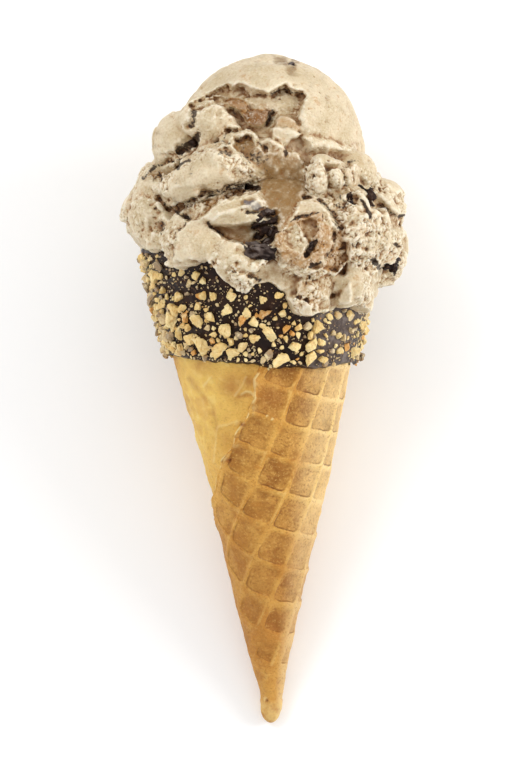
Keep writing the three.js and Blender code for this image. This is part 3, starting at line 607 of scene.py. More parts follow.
topScoop = {
    "centre": (3, 181.5, 0),
    "lobes": [
        ((2.7, 181.5, -1), (29.9, 30.8, 30.2), 0),     # the body, smooth on top
        ((-24, 185.2, 9), (9.4, 10.8, 14), 0),         # left cheek
        ((-13.5, 192.4, 19), (11, 8.5, 8), 0),         # chunk above it
        ((-15.3, 176.6, 26), (15, 8, 10), 25),         # smooth slab
        ((-1.5, 182, 26), (12, 8, 7), 0),              # crown of the slab
        ((19.7, 174.3, 23), (9, 8, 9), 0),             # knobs at the right
        ((27, 175.2, 13), (8, 8, 9), 0),
        ((9.3, 189.7, 22), (10, 7, 7), 0),             # facet under the ledge
    ],
    "back": {"count": 8, "from": 105, "to": 255, "low": 170, "high": 196, "reach": 20, "size": 11.5,
             "seed": 19},
    "voxel": 0.55, "fineVoxel": 0.45, "triangles": 170000, "floor": 165.0,
    "brokenness": lambda points: 1 - 0.92 * domeShare(points, 188, 200),
    "roughness": lambda points: 0.8 - 0.8 * domeShare(points, 180, 196),
    "patches": {
        "cavity": {"rise": -5.4, "lean": (0.02, -0.1), "edge": 0.8, "ragged": 1.1, "rough": 0.35,
            "warm": 0.15, "grey": 0.1, "outline": [(-22.1, 89.3), (-20.5, 90.6), (-18.6, 92.2),
            (-16.7, 93.1), (-14.8, 94.1), (-11.7, 93.8), (-9.2, 94.4), (-6.9, 93.8), (-3.8, 92.5),
            (-1.3, 91.9), (1.3, 91.9), (3.2, 93.1), (4.7, 93.8), (6.6, 93.8), (9.2, 92.5), (11.7, 91.9),
            (12.3, 88.4), (10.4, 84.9), (11.7, 80.8), (11.7, 77.0), (6.0, 77.0), (-1.3, 77.7), (-9.5, 78.9),
            (-16.4, 80.8), (-20.8, 85.2)]},
        "cavityFloor": {"rise": -5.2, "lean": (0.0, -0.08), "crown": 0.5, "edge": 0.8, "ragged": 0.8,
            "rough": 0.05, "grey": 0.25, "outline": [(-7.3, 90.6), (-2.5, 91.2), (1.9, 91.2), (6.9, 92.2),
            (11.0, 91.2), (10.7, 87.8), (9.5, 85.6), (5.1, 85.6), (0.6, 87.1), (-5.1, 87.1)]},
        "leftStep": {"rise": -2.2, "lean": (0.0, 0.1), "crown": 0.4, "edge": 0.4, "ragged": 0.8,
            "rough": 0.5, "warm": 0.15, "grey": 0.1, "outline": [(-24.6, 88.1), (-22.1, 89.3), (-19.3, 90.3),
            (-16.1, 90.0), (-16.7, 88.7), (-18.9, 87.8), (-21.2, 86.5), (-23.4, 86.2)]},
        "chunkLeft": {"rise": 0.6, "lean": (-0.05, 0.1), "crown": 1.4, "edge": 0.4, "ragged": 0.7,
            "rough": 0.15, "warm": 0.1, "outline": [(-22.4, 84.0), (-21.5, 85.9), (-18.9, 87.4),
            (-15.8, 88.7), (-13.9, 87.4), (-11.7, 85.9), (-9.5, 83.7), (-7.9, 81.1), (-10.7, 80.2),
            (-12.6, 80.8), (-13.3, 78.9), (-15.2, 77.7), (-18.0, 76.7), (-19.9, 77.3), (-21.5, 78.9),
            (-22.7, 81.5)]},
        "chunkTip": {"rise": 1.5, "lean": (0.1, -0.1), "crown": 0.6, "edge": 0.35, "ragged": 0.4,
            "rough": 0.1, "warm": -0.1, "outline": [(-12.6, 82.1), (-10.7, 83.0), (-7.9, 81.1), (-8.8, 80.2),
            (-10.7, 79.9), (-12.6, 80.5)]},
        "caramelPatch": {"rise": -2.0, "lean": (0.1, 0.05), "crown": 0.5, "edge": 0.35, "ragged": 0.6,
            "rough": 0.3, "warm": 1.3, "outline": [(-12.6, 89.3), (-11.4, 90.6), (-8.8, 90.3), (-6.3, 88.4),
            (-5.7, 86.8), (-8.2, 86.2), (-11.0, 87.8)]},
        "caramelFlake": {"rise": -1.4, "lean": (0.02, 0.14), "crown": 0.3, "edge": 0.35, "ragged": 0.6,
            "rough": 0.9, "warm": 1.5, "dark": 0.3, "outline": [(-8.2, 85.9), (-5.1, 86.8), (-1.3, 86.5),
            (2.2, 86.8), (0.6, 84.3), (-1.3, 82.1), (-4.4, 81.5), (-6.3, 83.3)]},
        "shingleUpper": {"rise": -1.1, "lean": (0.06, -0.16), "edge": 0.3, "ragged": 0.3, "rough": 0.0,
            "warm": 0.5, "outline": [(3.2, 84.0), (4.4, 85.2), (6.9, 85.2), (9.8, 83.0), (11.7, 79.9),
            (8.8, 79.6), (5.7, 80.8), (2.8, 81.5)]},
        "shingleLower": {"rise": 1.5, "lean": (0.05, -0.12), "crown": 0.3, "edge": 0.28, "ragged": 0.4,
            "rough": 0.0, "warm": 0.1, "outline": [(1.6, 80.8), (4.1, 81.5), (7.6, 80.8), (11.4, 79.2),
            (10.4, 77.7), (8.2, 77.0), (6.9, 75.8), (4.7, 76.7), (2.2, 78.0)]},
        "shingleYellow": {"rise": 1.5, "lean": (-0.08, 0.05), "crown": 0.6, "edge": 0.3, "ragged": 0.4,
            "rough": 0.05, "warm": 0.35, "outline": [(0.6, 77.7), (2.8, 77.0), (5.1, 75.8), (6.3, 74.2),
            (4.7, 74.2), (2.2, 74.8), (0.9, 76.4)]},
        "domeSide": {"rise": 0.1, "crown": 0.2, "edge": 1.8, "ragged": 0.6, "rough": 0.06,
            "outline": [(12.0, 85.9), (16.4, 88.4), (21.5, 88.4), (25.9, 85.2), (28.7, 80.8), (29.0, 77.0),
            (25.9, 76.1), (22.7, 77.0), (18.6, 78.3), (13.9, 78.9), (11.7, 81.5)]},
        "rightRidge": {"rise": 1.2, "lean": (0.0, -0.05), "crown": 0.6, "edge": 0.5, "ragged": 0.6,
            "rough": 0.1, "outline": [(12.0, 77.0), (14.5, 78.0), (18.6, 77.7), (22.7, 76.1), (26.5, 74.8),
            (29.0, 75.8), (27.2, 73.2), (23.4, 73.2), (18.6, 73.9), (13.9, 73.9)]},
        "archFold": {"rise": 2.0, "lean": (0.0, 0.12), "crown": 0.4, "edge": 0.35, "ragged": 0.8,
            "rough": 0.4, "warm": 0.1, "outline": [(-13.3, 76.4), (-11.0, 78.6), (-8.2, 80.2), (-5.7, 80.5),
            (-3.5, 79.2), (-2.2, 77.3), (-3.5, 76.4), (-5.4, 78.0), (-7.3, 78.6), (-9.5, 77.3),
            (-11.4, 75.1), (-12.6, 73.9)]},
        "archHollow": {"rise": -0.8, "lean": (0.0, 0.1), "edge": 0.5, "ragged": 0.6, "rough": 0.35,
            "warm": 0.5, "grey": 0.8, "dark": 0.4, "outline": [(-11.0, 75.1), (-9.2, 77.0), (-6.9, 78.0),
            (-5.1, 77.3), (-3.5, 75.8), (-1.9, 73.9), (-0.6, 71.3), (-3.2, 70.7), (-6.0, 72.3),
            (-8.8, 73.6)]},
        "crumbRow": {"rise": 1.0, "lean": (0.0, 0.1), "crown": 1.0, "edge": 0.4, "ragged": 0.9, "rough": 0.8,
            "warm": 0.25, "outline": [(-25.3, 70.7), (-23.0, 72.9), (-20.2, 74.8), (-17.0, 75.8),
            (-13.9, 76.1), (-12.6, 74.8), (-15.2, 73.6), (-18.6, 72.6), (-21.8, 70.4), (-24.0, 68.8)]},
        "slab": {"rise": 2.6, "lean": (0.0, 0.1), "crown": 0.9, "edge": 0.32, "ragged": 0.5, "rough": 0.04,
            "warm": -0.1, "outline": [(-31.3, 64.1), (-29.7, 66.0), (-26.8, 66.9), (-24.9, 69.1),
            (-21.8, 71.3), (-18.6, 73.6), (-16.4, 74.2), (-14.2, 73.2), (-12.6, 70.4), (-11.7, 67.6),
            (-9.5, 64.4), (-8.2, 63.1), (-13.3, 62.2), (-18.0, 60.9), (-24.3, 58.7), (-28.7, 56.5),
            (-30.9, 58.7)]},
        "slabRight": {"rise": 1.7, "lean": (0.0, 0.05), "crown": 0.8, "edge": 0.6, "ragged": 1.0,
            "rough": 0.85, "warm": 0.1, "outline": [(-13.3, 70.7), (-10.7, 71.3), (-8.2, 71.7), (-5.4, 70.7),
            (-3.2, 68.2), (-1.3, 65.0), (0.0, 62.5), (-2.2, 61.9), (-4.4, 63.1), (-8.2, 63.5),
            (-11.0, 66.3)]},
        "smear": {"rise": 1.0, "lean": (0.02, 0.0), "crown": 0.5, "edge": 2.2, "ragged": 1.2, "rough": 0.1,
            "warm": 0.5, "grey": 0.66, "streak": (0.35, -60), "outline": [(-4.4, 72.0), (-1.3, 73.9),
            (3.2, 73.9), (7.6, 73.2), (11.7, 71.7), (12.3, 68.8), (11.7, 64.4), (10.1, 60.6), (6.3, 59.4),
            (3.2, 61.2), (0.0, 64.4), (-2.5, 68.2)]},
        "knobOne": {"rise": 2.6, "lean": (0.0, 0.1), "crown": 1.8, "edge": 0.35, "ragged": 0.8,
            "rough": 0.75, "warm": 0.05, "outline": [(12.3, 68.8), (14.5, 70.4), (17.0, 70.4), (19.3, 68.5),
            (19.6, 65.7), (19.3, 61.9), (18.0, 58.7), (16.1, 57.8), (13.6, 59.0), (12.0, 61.9),
            (11.7, 65.7)]},
        "knobTwo": {"rise": 2.2, "lean": (0.0, 0.1), "crown": 1.6, "edge": 0.35, "ragged": 0.7, "rough": 0.6,
            "warm": 0.05, "outline": [(19.9, 67.2), (22.1, 68.5), (24.3, 67.6), (24.9, 64.4), (24.0, 61.6),
            (21.8, 61.9), (19.6, 64.1)]},
        "knobThree": {"rise": 2.0, "lean": (0.0, 0.1), "crown": 1.6, "edge": 0.35, "ragged": 0.7,
            "rough": 0.5, "warm": 0.3, "outline": [(25.6, 68.2), (27.8, 69.5), (30.0, 68.2), (30.3, 64.1),
            (29.0, 60.3), (27.5, 60.0), (25.9, 62.2), (25.3, 65.7)]},
    },
    "strokes": {
        "ledgeShadow": (0.7, 1.8, 0.65, 0.0, [(1.6, 91.6), (3.2, 92.5), (5.4, 93.1), (8.2, 92.2),
            (11.4, 91.2)]),
        "ledgeLeft": (0.7, 1.2, 0.35, 0.0, [(-20.2, 90.0), (-17.7, 90.6), (-14.8, 90.3), (-11.7, 90.6),
            (-8.2, 92.2)]),
        "darkCrumbsUpper": (1.4, 1.6, 0.72, 0.0, [(-22.7, 85.9), (-22.7, 83.7), (-23.7, 81.5)]),
        "darkCrumbsLower": (2.0, 1.8, 0.74, 0.0, [(-21.2, 78.0), (-22.7, 76.1), (-24.9, 74.5),
            (-27.5, 73.9)]),
        "darkCrumbsLeft": (1.2, 1.2, 0.6, 0.0, [(-25.3, 73.9), (-27.2, 74.5), (-28.1, 73.6)]),
        "seamFoot": (1.1, 2.0, 0.8, 0.0, [(-24.9, 70.7), (-26.8, 69.5), (-28.1, 67.6)]),
        "flakeHole": (1.3, 2.4, 0.8, 0.0, [(2.2, 85.9), (1.3, 83.7), (0.3, 82.1)]),
        "caramelGap": (0.8, 1.4, 0.5, 0.0, [(-11.4, 87.4), (-9.5, 85.2), (-7.3, 84.3)]),
        "caramelGapTwo": (0.7, 1.2, 0.5, 0.0, [(-6.3, 85.9), (-5.1, 87.8), (-3.2, 87.1)]),
        "archHollow": (1.4, 1.6, 0.55, 0.0, [(-9.5, 76.7), (-7.3, 78.0), (-5.1, 77.3)]),
        "shingleLine": (0.5, 1.2, 0.5, 0.0, [(1.9, 81.1), (4.4, 81.5), (7.6, 80.8), (11.4, 79.6)]),
        "mud": (2.7, 0.5, 0.6, 0.0, [(-6.3, 72.9), (-4.1, 71.3), (-1.3, 69.8)]),
        "mudTwo": (1.8, 0.4, 0.42, 0.0, [(-1.3, 69.5), (0.6, 67.6), (1.9, 65.0)]),
        "archGap": (0.9, 1.8, 0.6, 0.0, [(-2.5, 76.7), (-1.3, 75.1), (0.0, 73.9)]),
        "yellowHole": (0.9, 1.6, 0.7, 0.0, [(6.0, 73.6), (6.3, 72.0)]),
        "underChunk": (0.9, 1.6, 0.55, 0.0, [(-13.3, 78.3), (-11.4, 79.2), (-8.8, 79.9)]),
        "underChunkTwo": (0.9, 1.4, 0.55, 0.0, [(-16.4, 76.1), (-13.9, 76.7), (-12.3, 76.4)]),
        "slabTop": (1.0, 1.6, 0.7, 0.0, [(-14.2, 72.9), (-12.6, 73.6), (-10.7, 72.0)]),
        "smearSpots": (1.3, 0.5, 0.5, 0.0, [(-2.5, 72.6), (-1.3, 71.7), (0.3, 71.7)]),
        "smearSpotsTwo": (1.2, 0.5, 0.4, 0.0, [(-6.6, 70.7), (-4.4, 69.8), (-2.5, 68.8)]),
        "smearGroove": (1.2, 0.7, 0.25, 0.0, [(3.2, 71.3), (5.1, 67.6), (7.6, 63.8), (10.1, 61.2)]),
        "slabUnder": (1.3, 4.0, 0.62, 0.0, [(-28.4, 56.2), (-26.2, 57.1), (-24.0, 58.4), (-17.7, 60.6),
            (-12.6, 61.9), (-8.2, 63.1), (-4.4, 63.1), (-2.2, 61.6)]),
        "cheekFoot": (0.7, 2.0, 0.6, 0.0, [(-36.0, 69.5), (-33.5, 69.1), (-30.3, 70.1), (-27.2, 71.0),
            (-24.9, 72.0)]),
        "leftCrease": (0.6, 1.2, 0.45, 0.0, [(-24.6, 87.1), (-23.0, 87.8), (-21.5, 87.8)]),
        "knobGap": (0.7, 2.0, 0.55, 0.0, [(19.6, 68.2), (19.9, 65.0), (19.3, 61.2)]),
        "knobGapTwo": (0.8, 2.2, 0.6, 0.0, [(24.9, 67.6), (24.6, 64.4), (24.9, 60.9)]),
        "knobPit": (0.8, 0.9, 0.5, 0.0, [(13.6, 65.0), (15.2, 65.3), (16.4, 65.7)]),
        "fleck": (1.2, 0.4, 0.55, 0.0, [(25.9, 69.8), (27.2, 70.4), (28.7, 70.7)]),
        "domeStain": (1.2, 0.2, 0.4, 0.0, [(7.9, 102.3), (8.5, 100.4), (7.9, 98.2)]),
        "domeStainTwo": (0.9, 0.2, 0.42, 0.7, [(5.7, 101.0), (7.3, 101.3), (9.5, 102.3)]),
        "domeSmudge": (2.4, 0.15, 0.0, 0.6, [(4.1, 102.3), (6.0, 102.3), (7.6, 101.0), (8.2, 98.8)]),
        "rightFold": (0.5, 0.8, 0.15, 0.0, [(20.5, 78.3), (23.4, 76.4), (26.5, 75.1), (29.0, 76.1)]),
        "bandLine": (0.5, 0.8, 0.25, 0.0, [(11.7, 77.0), (14.5, 73.9), (18.6, 71.3), (22.7, 69.8)]),
    },
}


def hemHeight(angles):
    return np.interp(angles, [angle for angle, height in hemPath], [height for angle, height in hemPath])


def backLobes(scoop):  # on the side that rests on the floor
    back = scoop["back"]
    draw = seededDraws(back["seed"])
    lobes = []
    for i in range(back["count"]):
        angle = back["from"] + (back["to"] - back["from"]) * (i + 0.25 + 0.5 * draw()) / back["count"]
        share = (i * 0.618 + 0.2 * draw()) % 1
        height = back["low"] + (back["high"] - back["low"]) * share
        middle = aroundAxis(np.array(angle), back["reach"], height)
        at = (middle[0] + scoop["centre"][0], middle[1], middle[2] + scoop["centre"][2])
        lobes.append((at, tuple(back["size"] * (0.8 + 0.4 * draw()) for side in range(3)), 0))
    return lobes


def lobeBody(scoop):
    bm = bmesh.new()
    for at, size, turn in scoop["lobes"] + backLobes(scoop):
        place = (Matrix.Translation(at) @ Matrix.Rotation(math.radians(turn), 4, "Z")
                 @ Matrix.Diagonal((*size, 1.0)))
        bmesh.ops.create_icosphere(bm, subdivisions=5, radius=1.0, matrix=place)
    return throughModifiers(meshFrom(bm, "lobes"), voxels(scoop["voxel"]), smoothing(2))


def brokenLumps(points, scoop):  # height and depth of cracks
    warp = np.stack([softNoise(points, 7.0, seed) for seed in (1, 2, 3)], axis=1)
    near, second, middle, offset = cellNoise(points + 2.2 * warp, iceCream["cell"], scoop["back"]["seed"])
    lean = np.stack([cellDraw(middle, seed) - 0.5 for seed in (1, 2, 3)], axis=1)
    rise = iceCream["cellRise"] * 2 * (cellDraw(middle, 4) - 0.5)
    rise += iceCream["cellTilt"] * 2 * (offset * lean).sum(axis=1)
    border = (second - near) * iceCream["cell"]
    some = smoothStep(softNoise(points, 15.0, 5), -0.1, 0.35)
    crack = (1 - smoothStep(border, 0.0, iceCream["crackWidth"] * (1 + some))) * some
    return rise, crack


def carveFront(scoop, spots, height, facing):  # what the front's patches and strokes give
    count = len(spots)
    fields = {name: np.zeros(count) for name in ("lift", "rough", "warm", "grey", "dark", "plain")}
    seen = facing > 0
    flat = np.insert(spots[seen], 2, 0.0, axis=1)
    warp = [softNoise(flat, size, seed) for size, seed in ((3.2, 11), (3.2, 12), (1.1, 13), (1.1, 14))]
    warp = np.stack([0.62 * warp[0] + 0.3 * warp[2], 0.62 * warp[1] + 0.3 * warp[3]], axis=1)
    uneven = softNoise(flat, 2.6, 15)
    spots, height = spots[seen], height[seen]
    seenFields = {name: values[seen] for name, values in fields.items()}
    lift = seenFields["lift"]
    for patch in scoop["patches"].values():
        patch = {**patchDefaults, **patch}
        inside = insideBy(spots + patch["ragged"] * warp, patch["outline"])
        mask = smoothStep(inside, -patch["edge"], patch["edge"])
        core = (inside > 0) & (facing[seen] > 0.2)
        if core.sum() < 12:
            continue
        rel = spots - spots[core].mean(axis=0)
        level = np.insert(rel, 2, 1.0, axis=1)
        plane = level @ np.linalg.lstsq(level[core], height[core], rcond=None)[0]
        face = patch["rise"] + rel @ np.array(patch["lean"])
        face += patch["crown"] * smoothStep(inside, 0.0, inside.max())
        face += iceCream["flatten"] * np.clip(plane - height, -3.0, 3.0)
        streak, turn = patch["streak"][0], math.radians(patch["streak"][1])
        if streak:
            along = rel @ (math.cos(turn), math.sin(turn)) / 9
            across = rel @ (-math.sin(turn), math.cos(turn))
            lines = np.stack([along, across, 0 * along], axis=1)
            face += streak * (softNoise(lines, 1.3, 16) + 0.5 * softNoise(lines, 0.6, 17))
        lift += mask * (face - lift)
        torn = 0.6 * min(patch["ragged"], 1.0) * np.exp(-(inside / 1.3) ** 2) * (patch["ragged"] > 0.45)
        for name in ("rough", "warm", "grey", "dark"):
            seenFields[name] += mask * (patch[name] - seenFields[name])
        seenFields["rough"] = np.maximum(seenFields["rough"], torn)
        seenFields["plain"] = np.maximum(seenFields["plain"], mask)
    for width, depth, dark, grey, path in scoop["strokes"].values():
        gap = pathDistance(spots + 0.8 * warp, path)
        width = width * (1 + 0.6 * uneven)
        lift -= depth * (1 - smoothStep(gap, 0.1 * width, 1.1 * width))
        for name, strength, start in (("dark", dark, 0.15), ("grey", grey, 0.2)):
            drawn = strength * (1 - smoothStep(gap, start * width, 1.3 * width))
            seenFields[name] = np.maximum(seenFields[name], drawn)
    for name, values in fields.items():
        values[seen] = seenFields[name]
    return fields


# A chunk sinks in or shrinks a little: scale and shift
chunkMoves = {
    "chocolate_chunk_2": (0.7, (0.9, -0.3, -0.4)),
    "chocolate_chunk_3": (0.65, (1.9, -1.0, -0.2)),
    "chocolate_chunk_4": (0.95, (-1.3, 0.2, 0.3)),
    "chocolate_chunk_5": (0.75, (-0.8, -1.6, -0.2)),
    "chocolate_chunk_6": (0.6, (-0.3, 0.4, -0.7)),
    "chocolate_chunk_8": (0.85, (1.6, -0.4, 0.4)),
    "chocolate_chunk_9": (0.6, (-0.4, -1.0, -1.0)),
    "chocolate_chunk_10": (0.45, (-0.6, -0.2, -0.4)),
}


def chunkCorners():  # each chocolate chunk's corners, in the cone's frame
    back = np.array(toWorld.inverted())
    for name, node in sorted(cadNodes.items()):
        if name.startswith("chocolate_chunk"):
            corners = meshPoints(node.data) @ back[:3, :3].T + back[:3, 3]
            scale, shift = chunkMoves.get(name, (1.0, (0, 0, 0)))
            middle = corners.mean(axis=0)
            yield middle + (corners - middle) * scale + np.array(shift)


def bareChunks(points, scoop):  # the ice cream lies lower round the chunks
    for corners in chunkCorners():
        middle = corners.mean(axis=0)
        out = middle - np.array(scoop["centre"])
        out /= np.linalg.norm(out)
        rel = corners - middle
        flat = rel - (rel @ out)[:, None] * out
        spread = np.linalg.pinv(flat.T @ flat / len(flat), rcond=1e-3)
        near = np.linalg.norm(points - middle, axis=1) < iceCream["chunkReach"]
        rel = points[near] - middle
        rise = rel @ out
        flat = rel - rise[:, None] * out
        reach = np.sqrt(((flat @ spread) * flat).sum(axis=1)) * (1 + 0.3 * softNoise(points[near], 1.6, 44))
        most = (corners @ out).max() - middle @ out - iceCream["chunkStand"]
        most = most + 0.6 * softNoise(points[near], 1.8, 45) + 4 * smoothStep(reach, 1.1, 2.1)
        excess = np.maximum(rise - most, 0) * (reach < 2.1)
        points[near] -= excess[:, None] * out
    return points


def overRim(points):  # the hem hangs over the chocolate, and below it all is inside the cone
    angles, radius, heights = onAxis(points)
    ragged = 0.9 * softNoise(points, 5.0, 21) + 0.45 * softNoise(points, 1.7, 22)
    over = smoothStep(heights - hemHeight(angles) - ragged, -0.2, 1.1)
    skirt = iceCream["skirt"] * (1 + 0.5 * softNoise(points, 6.0, 23))
    hold = 1 - smoothStep(heights, *iceCream["hemHold"])
    outer = np.maximum(radius, (coatRadius(angles, heights) + skirt) * hold)
    inner = np.minimum(radius, insideRadius(heights) - coneShape["gap"])
    wanted = inner + (outer - inner) * over
    scale = np.where(heights < iceCream["hemHold"][1] + 1, wanted / np.maximum(radius, 1e-3), 1.0)
    return points * np.stack([scale, np.ones_like(scale), scale], axis=1)


def aboveFloor(points):
    below = np.minimum(points @ floorUp + floorRise - 0.02, 0.0)
    return points - below[:, None] * floorUp


def carryOver(fields, old, points):  # each field's value at the nearest old point
    tree = KDTree(len(old))
    for i, place in enumerate(old.tolist()):
        tree.insert(place, i)
    tree.balance()
    nearest = np.array([tree.find(place)[1] for place in points.tolist()])
    return {name: values[nearest] for name, values in fields.items()}


def smoothedPoints(mesh, points, times):
    edges = np.empty(len(mesh.edges) * 2, dtype=np.int32)
    mesh.edges.foreach_get("vertices", edges)
    start, end = edges.reshape(-1, 2).T
    count = len(points)
    share = 1 / np.maximum(np.bincount(start, minlength=count) + np.bincount(end, minlength=count), 1)
    for turn in range(times):
        total = [np.bincount(start, points[end, i], count) + np.bincount(end, points[start, i], count)
                 for i in range(3)]
        points = 0.5 * points + 0.5 * np.stack(total, axis=1) * share[:, None]
    return points


def hollowness(mesh, times):  # how far each point lies below those around it, in mm
    points = meshPoints(mesh)
    return ((smoothedPoints(mesh, points, times) - points) * meshNormals(mesh)).sum(axis=1)


def crumbs(points, fields):  # how far the fine relief stands out
    rough = np.clip(fields["rough"], 0, 1)
    rough = rough * (0.42 + 0.58 * smoothStep(softNoise(points, 4.6, 46), -0.4, 0.3))
    fields["rough"] = rough
    lumps = []
    for size, rise, seed in ((iceCream["crumb"], iceCream["crumbRise"], 3),
                             (iceCream["grain"], iceCream["grainRise"], 4)):
        near, second, middle, offset = cellNoise(points, size, seed)
        lean = np.stack([cellDraw(middle, turn) - 0.5 for turn in (1, 2, 3)], axis=1)
        draw = cellDraw(middle, 6)
        dome = (0.8 - 2 * near) * (0.4 + 1.2 * draw)
        flake = 1.3 * (draw - 0.5) + 3.2 * (offset * lean).sum(axis=1) / size
        flake -= 0.6 * (1 - smoothStep(second - near, 0.0, 0.2))
        lumps.append(rise * (0.4 * dome + 0.55 * flake))
    lump, grain = lumps
    folds = np.abs(softNoise(points, 3.4, 42, 2))
    tears = -iceCream["tearDepth"] * (1 - smoothStep(folds, 0.0, 0.16))
    near, second, middle, offset = cellNoise(points, iceCream["pit"], 5)
    pits = -iceCream["pitDepth"] * smoothStep(near * iceCream["pit"], 0.7, 0.25)
    pits = pits * (cellDraw(middle, 8) > 0.45)
    smooth = 1 - rough
    return (rough * (lump + tears) + (0.12 + 0.88 * rough) * grain + smooth * (pits * 0.8 + 0.35 * tears)
            + 0.07 * softNoise(points, 2.6, 43))


def thinned(mesh, fields, most):  # fewest faces where nothing shows
    points = meshPoints(mesh)
    triangles = sum(len(face.vertices) - 2 for face in mesh.polygons)
    angles, radius, heights = onAxis(points)
    hidden = (heights < iceCream["hiddenBelow"]) & (radius < insideRadius(heights) + 1.5)
    shown = np.where(hidden, 0.0, 0.35 + 0.65 * smoothStep(meshNormals(mesh) @ np.array(viewOut), -0.3, 0.3))
    holder = addObject("holder", mesh)
    group = holder.vertex_groups.new(name="coarse")
    for weight in np.unique(np.round(shown, 1)):
        group.add(np.flatnonzero(np.round(shown, 1) == weight).tolist(), float(1 - weight), "REPLACE")
    modifier = holder.modifiers.new("Decimate", "DECIMATE")
    modifier.ratio = most / triangles
    modifier.vertex_group, modifier.vertex_group_factor = "coarse", 1.0
    shownMesh = holder.evaluated_get(bpy.context.evaluated_depsgraph_get())
    result = bpy.data.meshes.new_from_object(shownMesh)
    result.validate()
    bpy.data.objects.remove(holder)
    return result, carryOver(fields, points, meshPoints(result))


def makeScoop(scoop):
    mesh = lobeBody(scoop)
    points, normals = meshPoints(mesh), meshNormals(mesh)
    sight = np.array(viewOut)
    facing = smoothStep(normals @ sight, 0.08, 0.4)
    fields = carveFront(scoop, frontPlane(points), points @ sight, facing)
    rise, crack = brokenLumps(points, scoop)
    broken = (1 - 0.88 * fields["plain"] * facing) * scoop["brokenness"](points)
    push = broken * (rise - iceCream["crackDepth"] * crack)
    push += iceCream["wave"] * softNoise(points, 10.0, 33, 2) * (1 - 0.5 * fields["plain"])
    moved = points + normals * push[:, None] + sight * (fields["lift"] * facing)[:, None]
    moved = bareChunks(moved, scoop)
    if scoop["floor"]:
        moved[:, 1] = np.maximum(moved[:, 1], scoop["floor"])
    else:
        moved = overRim(moved)
    moved = aboveFloor(moved)
    setPoints(mesh, moved)
    mesh = throughModifiers(mesh, voxels(scoop["fineVoxel"]), smoothing(1))
    fine = meshPoints(mesh)
    carried = carryOver({"facing": facing, "crack": crack * broken}, moved, fine)
    fields = carveFront(scoop, frontPlane(fine), fine @ sight, carried["facing"])
    own = smoothStep(softNoise(fine, 9.0, 31), -0.25, 0.45) * scoop["roughness"](fine)
    side = 1 - fields["plain"]
    fields["rough"] = fields["rough"] + side * (own - fields["rough"])
    # painted shade: darker in the cracks between the broken lumps
    fields["dark"] = np.maximum(fields["dark"], 0.42 * carried["crack"])
    fields["warm"] = fields["warm"] + 0.25 * side * smoothStep(softNoise(fine, 8.0, 32), 0.1, 0.6)
    setPoints(mesh, aboveFloor(fine + meshNormals(mesh) * crumbs(fine, fields)[:, None]))
    # painted shade and highlight follow these: brown in what lies low, pale on what stands out
    fields["hollow"] = hollowness(mesh, 6)
    fields["deep"] = hollowness(mesh, 60)
    return thinned(mesh, fields, scoop["triangles"])


def iceCreamMaterial():
    shader = Shader("iceCream")
    rough, warm, grey, dark, hollow, deep = (shader.attribute(name) for name in iceCreamFields)
    cloud, fleck, speck = shader.noise(9), shader.noise(2.2, 3), shader.noise(0.9, 2)
    fine = shader.noise(0.65, 3, 0.6)
    base = shader.mix(shader.spread(cloud, 0.35, 0.65), colour(204, 184, 147), colour(221, 203, 170))
    amber = shader.spread(warm + 0.9 * (fleck - 0.5), 0.15, 0.8)
    lit = 1 - 0.8 * amber
    grains = (0.35 + 0.65 * rough) * shader.spread(grey, 0.8, 0.2, 0.35, 1.0)
    base = shader.layers(
        base,
        (0.8 * amber, 174, 122, 56),
        (0.8 * shader.spread(warm + 0.7 * (fleck - 0.5), 0.95, 1.5), 120, 72, 20),
        (shader.spread(fleck + 0.4 * (cloud - 0.5), 0.6, 0.72) * 0.5, 192, 146, 90),
        (0.85 * shader.spread(grey + (0.5 + grey) * (fleck - 0.5), 0.05, 0.85), 134, 100, 52),
        (0.9 * shader.spread(grey + 0.6 * (fleck - 0.5), 1.1, 1.7), 104, 96, 98),
        # light and dark grains
        (grains * shader.spread(fine, 0.54, 0.66) * 0.6, 248, 240, 220),
        (grains * shader.spread(fine, 0.47, 0.33) * 0.75, 156, 106, 50),
        # pale on what stands out as a painted highlight, and brown in the hollows, partly stain and partly
        # painted shade
        (0.6 * lit * shader.spread(hollow, -0.03, -0.18), 249, 241, 222),
        (0.7 * shader.spread(hollow + 0.12 * (fine - 0.5), 0.02, 0.18), 148, 95, 40),
        (0.4 * shader.spread(deep, 0.12, 0.5), 156, 108, 56),
        (0.75 * shader.spread(deep, 0.25, 0.95), 108, 68, 34),
        (0.3 * lit * shader.spread(deep, -0.12, -0.6), 246, 234, 208),
        (0.8 * shader.spread(hollow + 0.2 * (fine - 0.5), 0.16, 0.34), 72, 43, 20),
        # dark: chocolate, and painted shade in the grooves and cracks
        (0.93 * shader.spread(dark + 1.1 * (speck - 0.5), 0.42, 0.72), 46, 28, 17),
    )
    grain = shader.noise(0.55, 3, 0.6) + 0.6 * shader.noise(1.7, 2)
    return shader.finish({
        "Base Color": base,
        "Roughness": shader.spread(rough, 0.0, 1.0, 0.42, 0.62),
        "Normal": shader.bump(grain, 0.4, 0.85),
        "Subsurface Weight": 0.12,
        "Subsurface Radius": (1.0, 0.62, 0.36),
        "Subsurface Scale": 0.001,
        "Specular IOR Level": 0.35,
    })


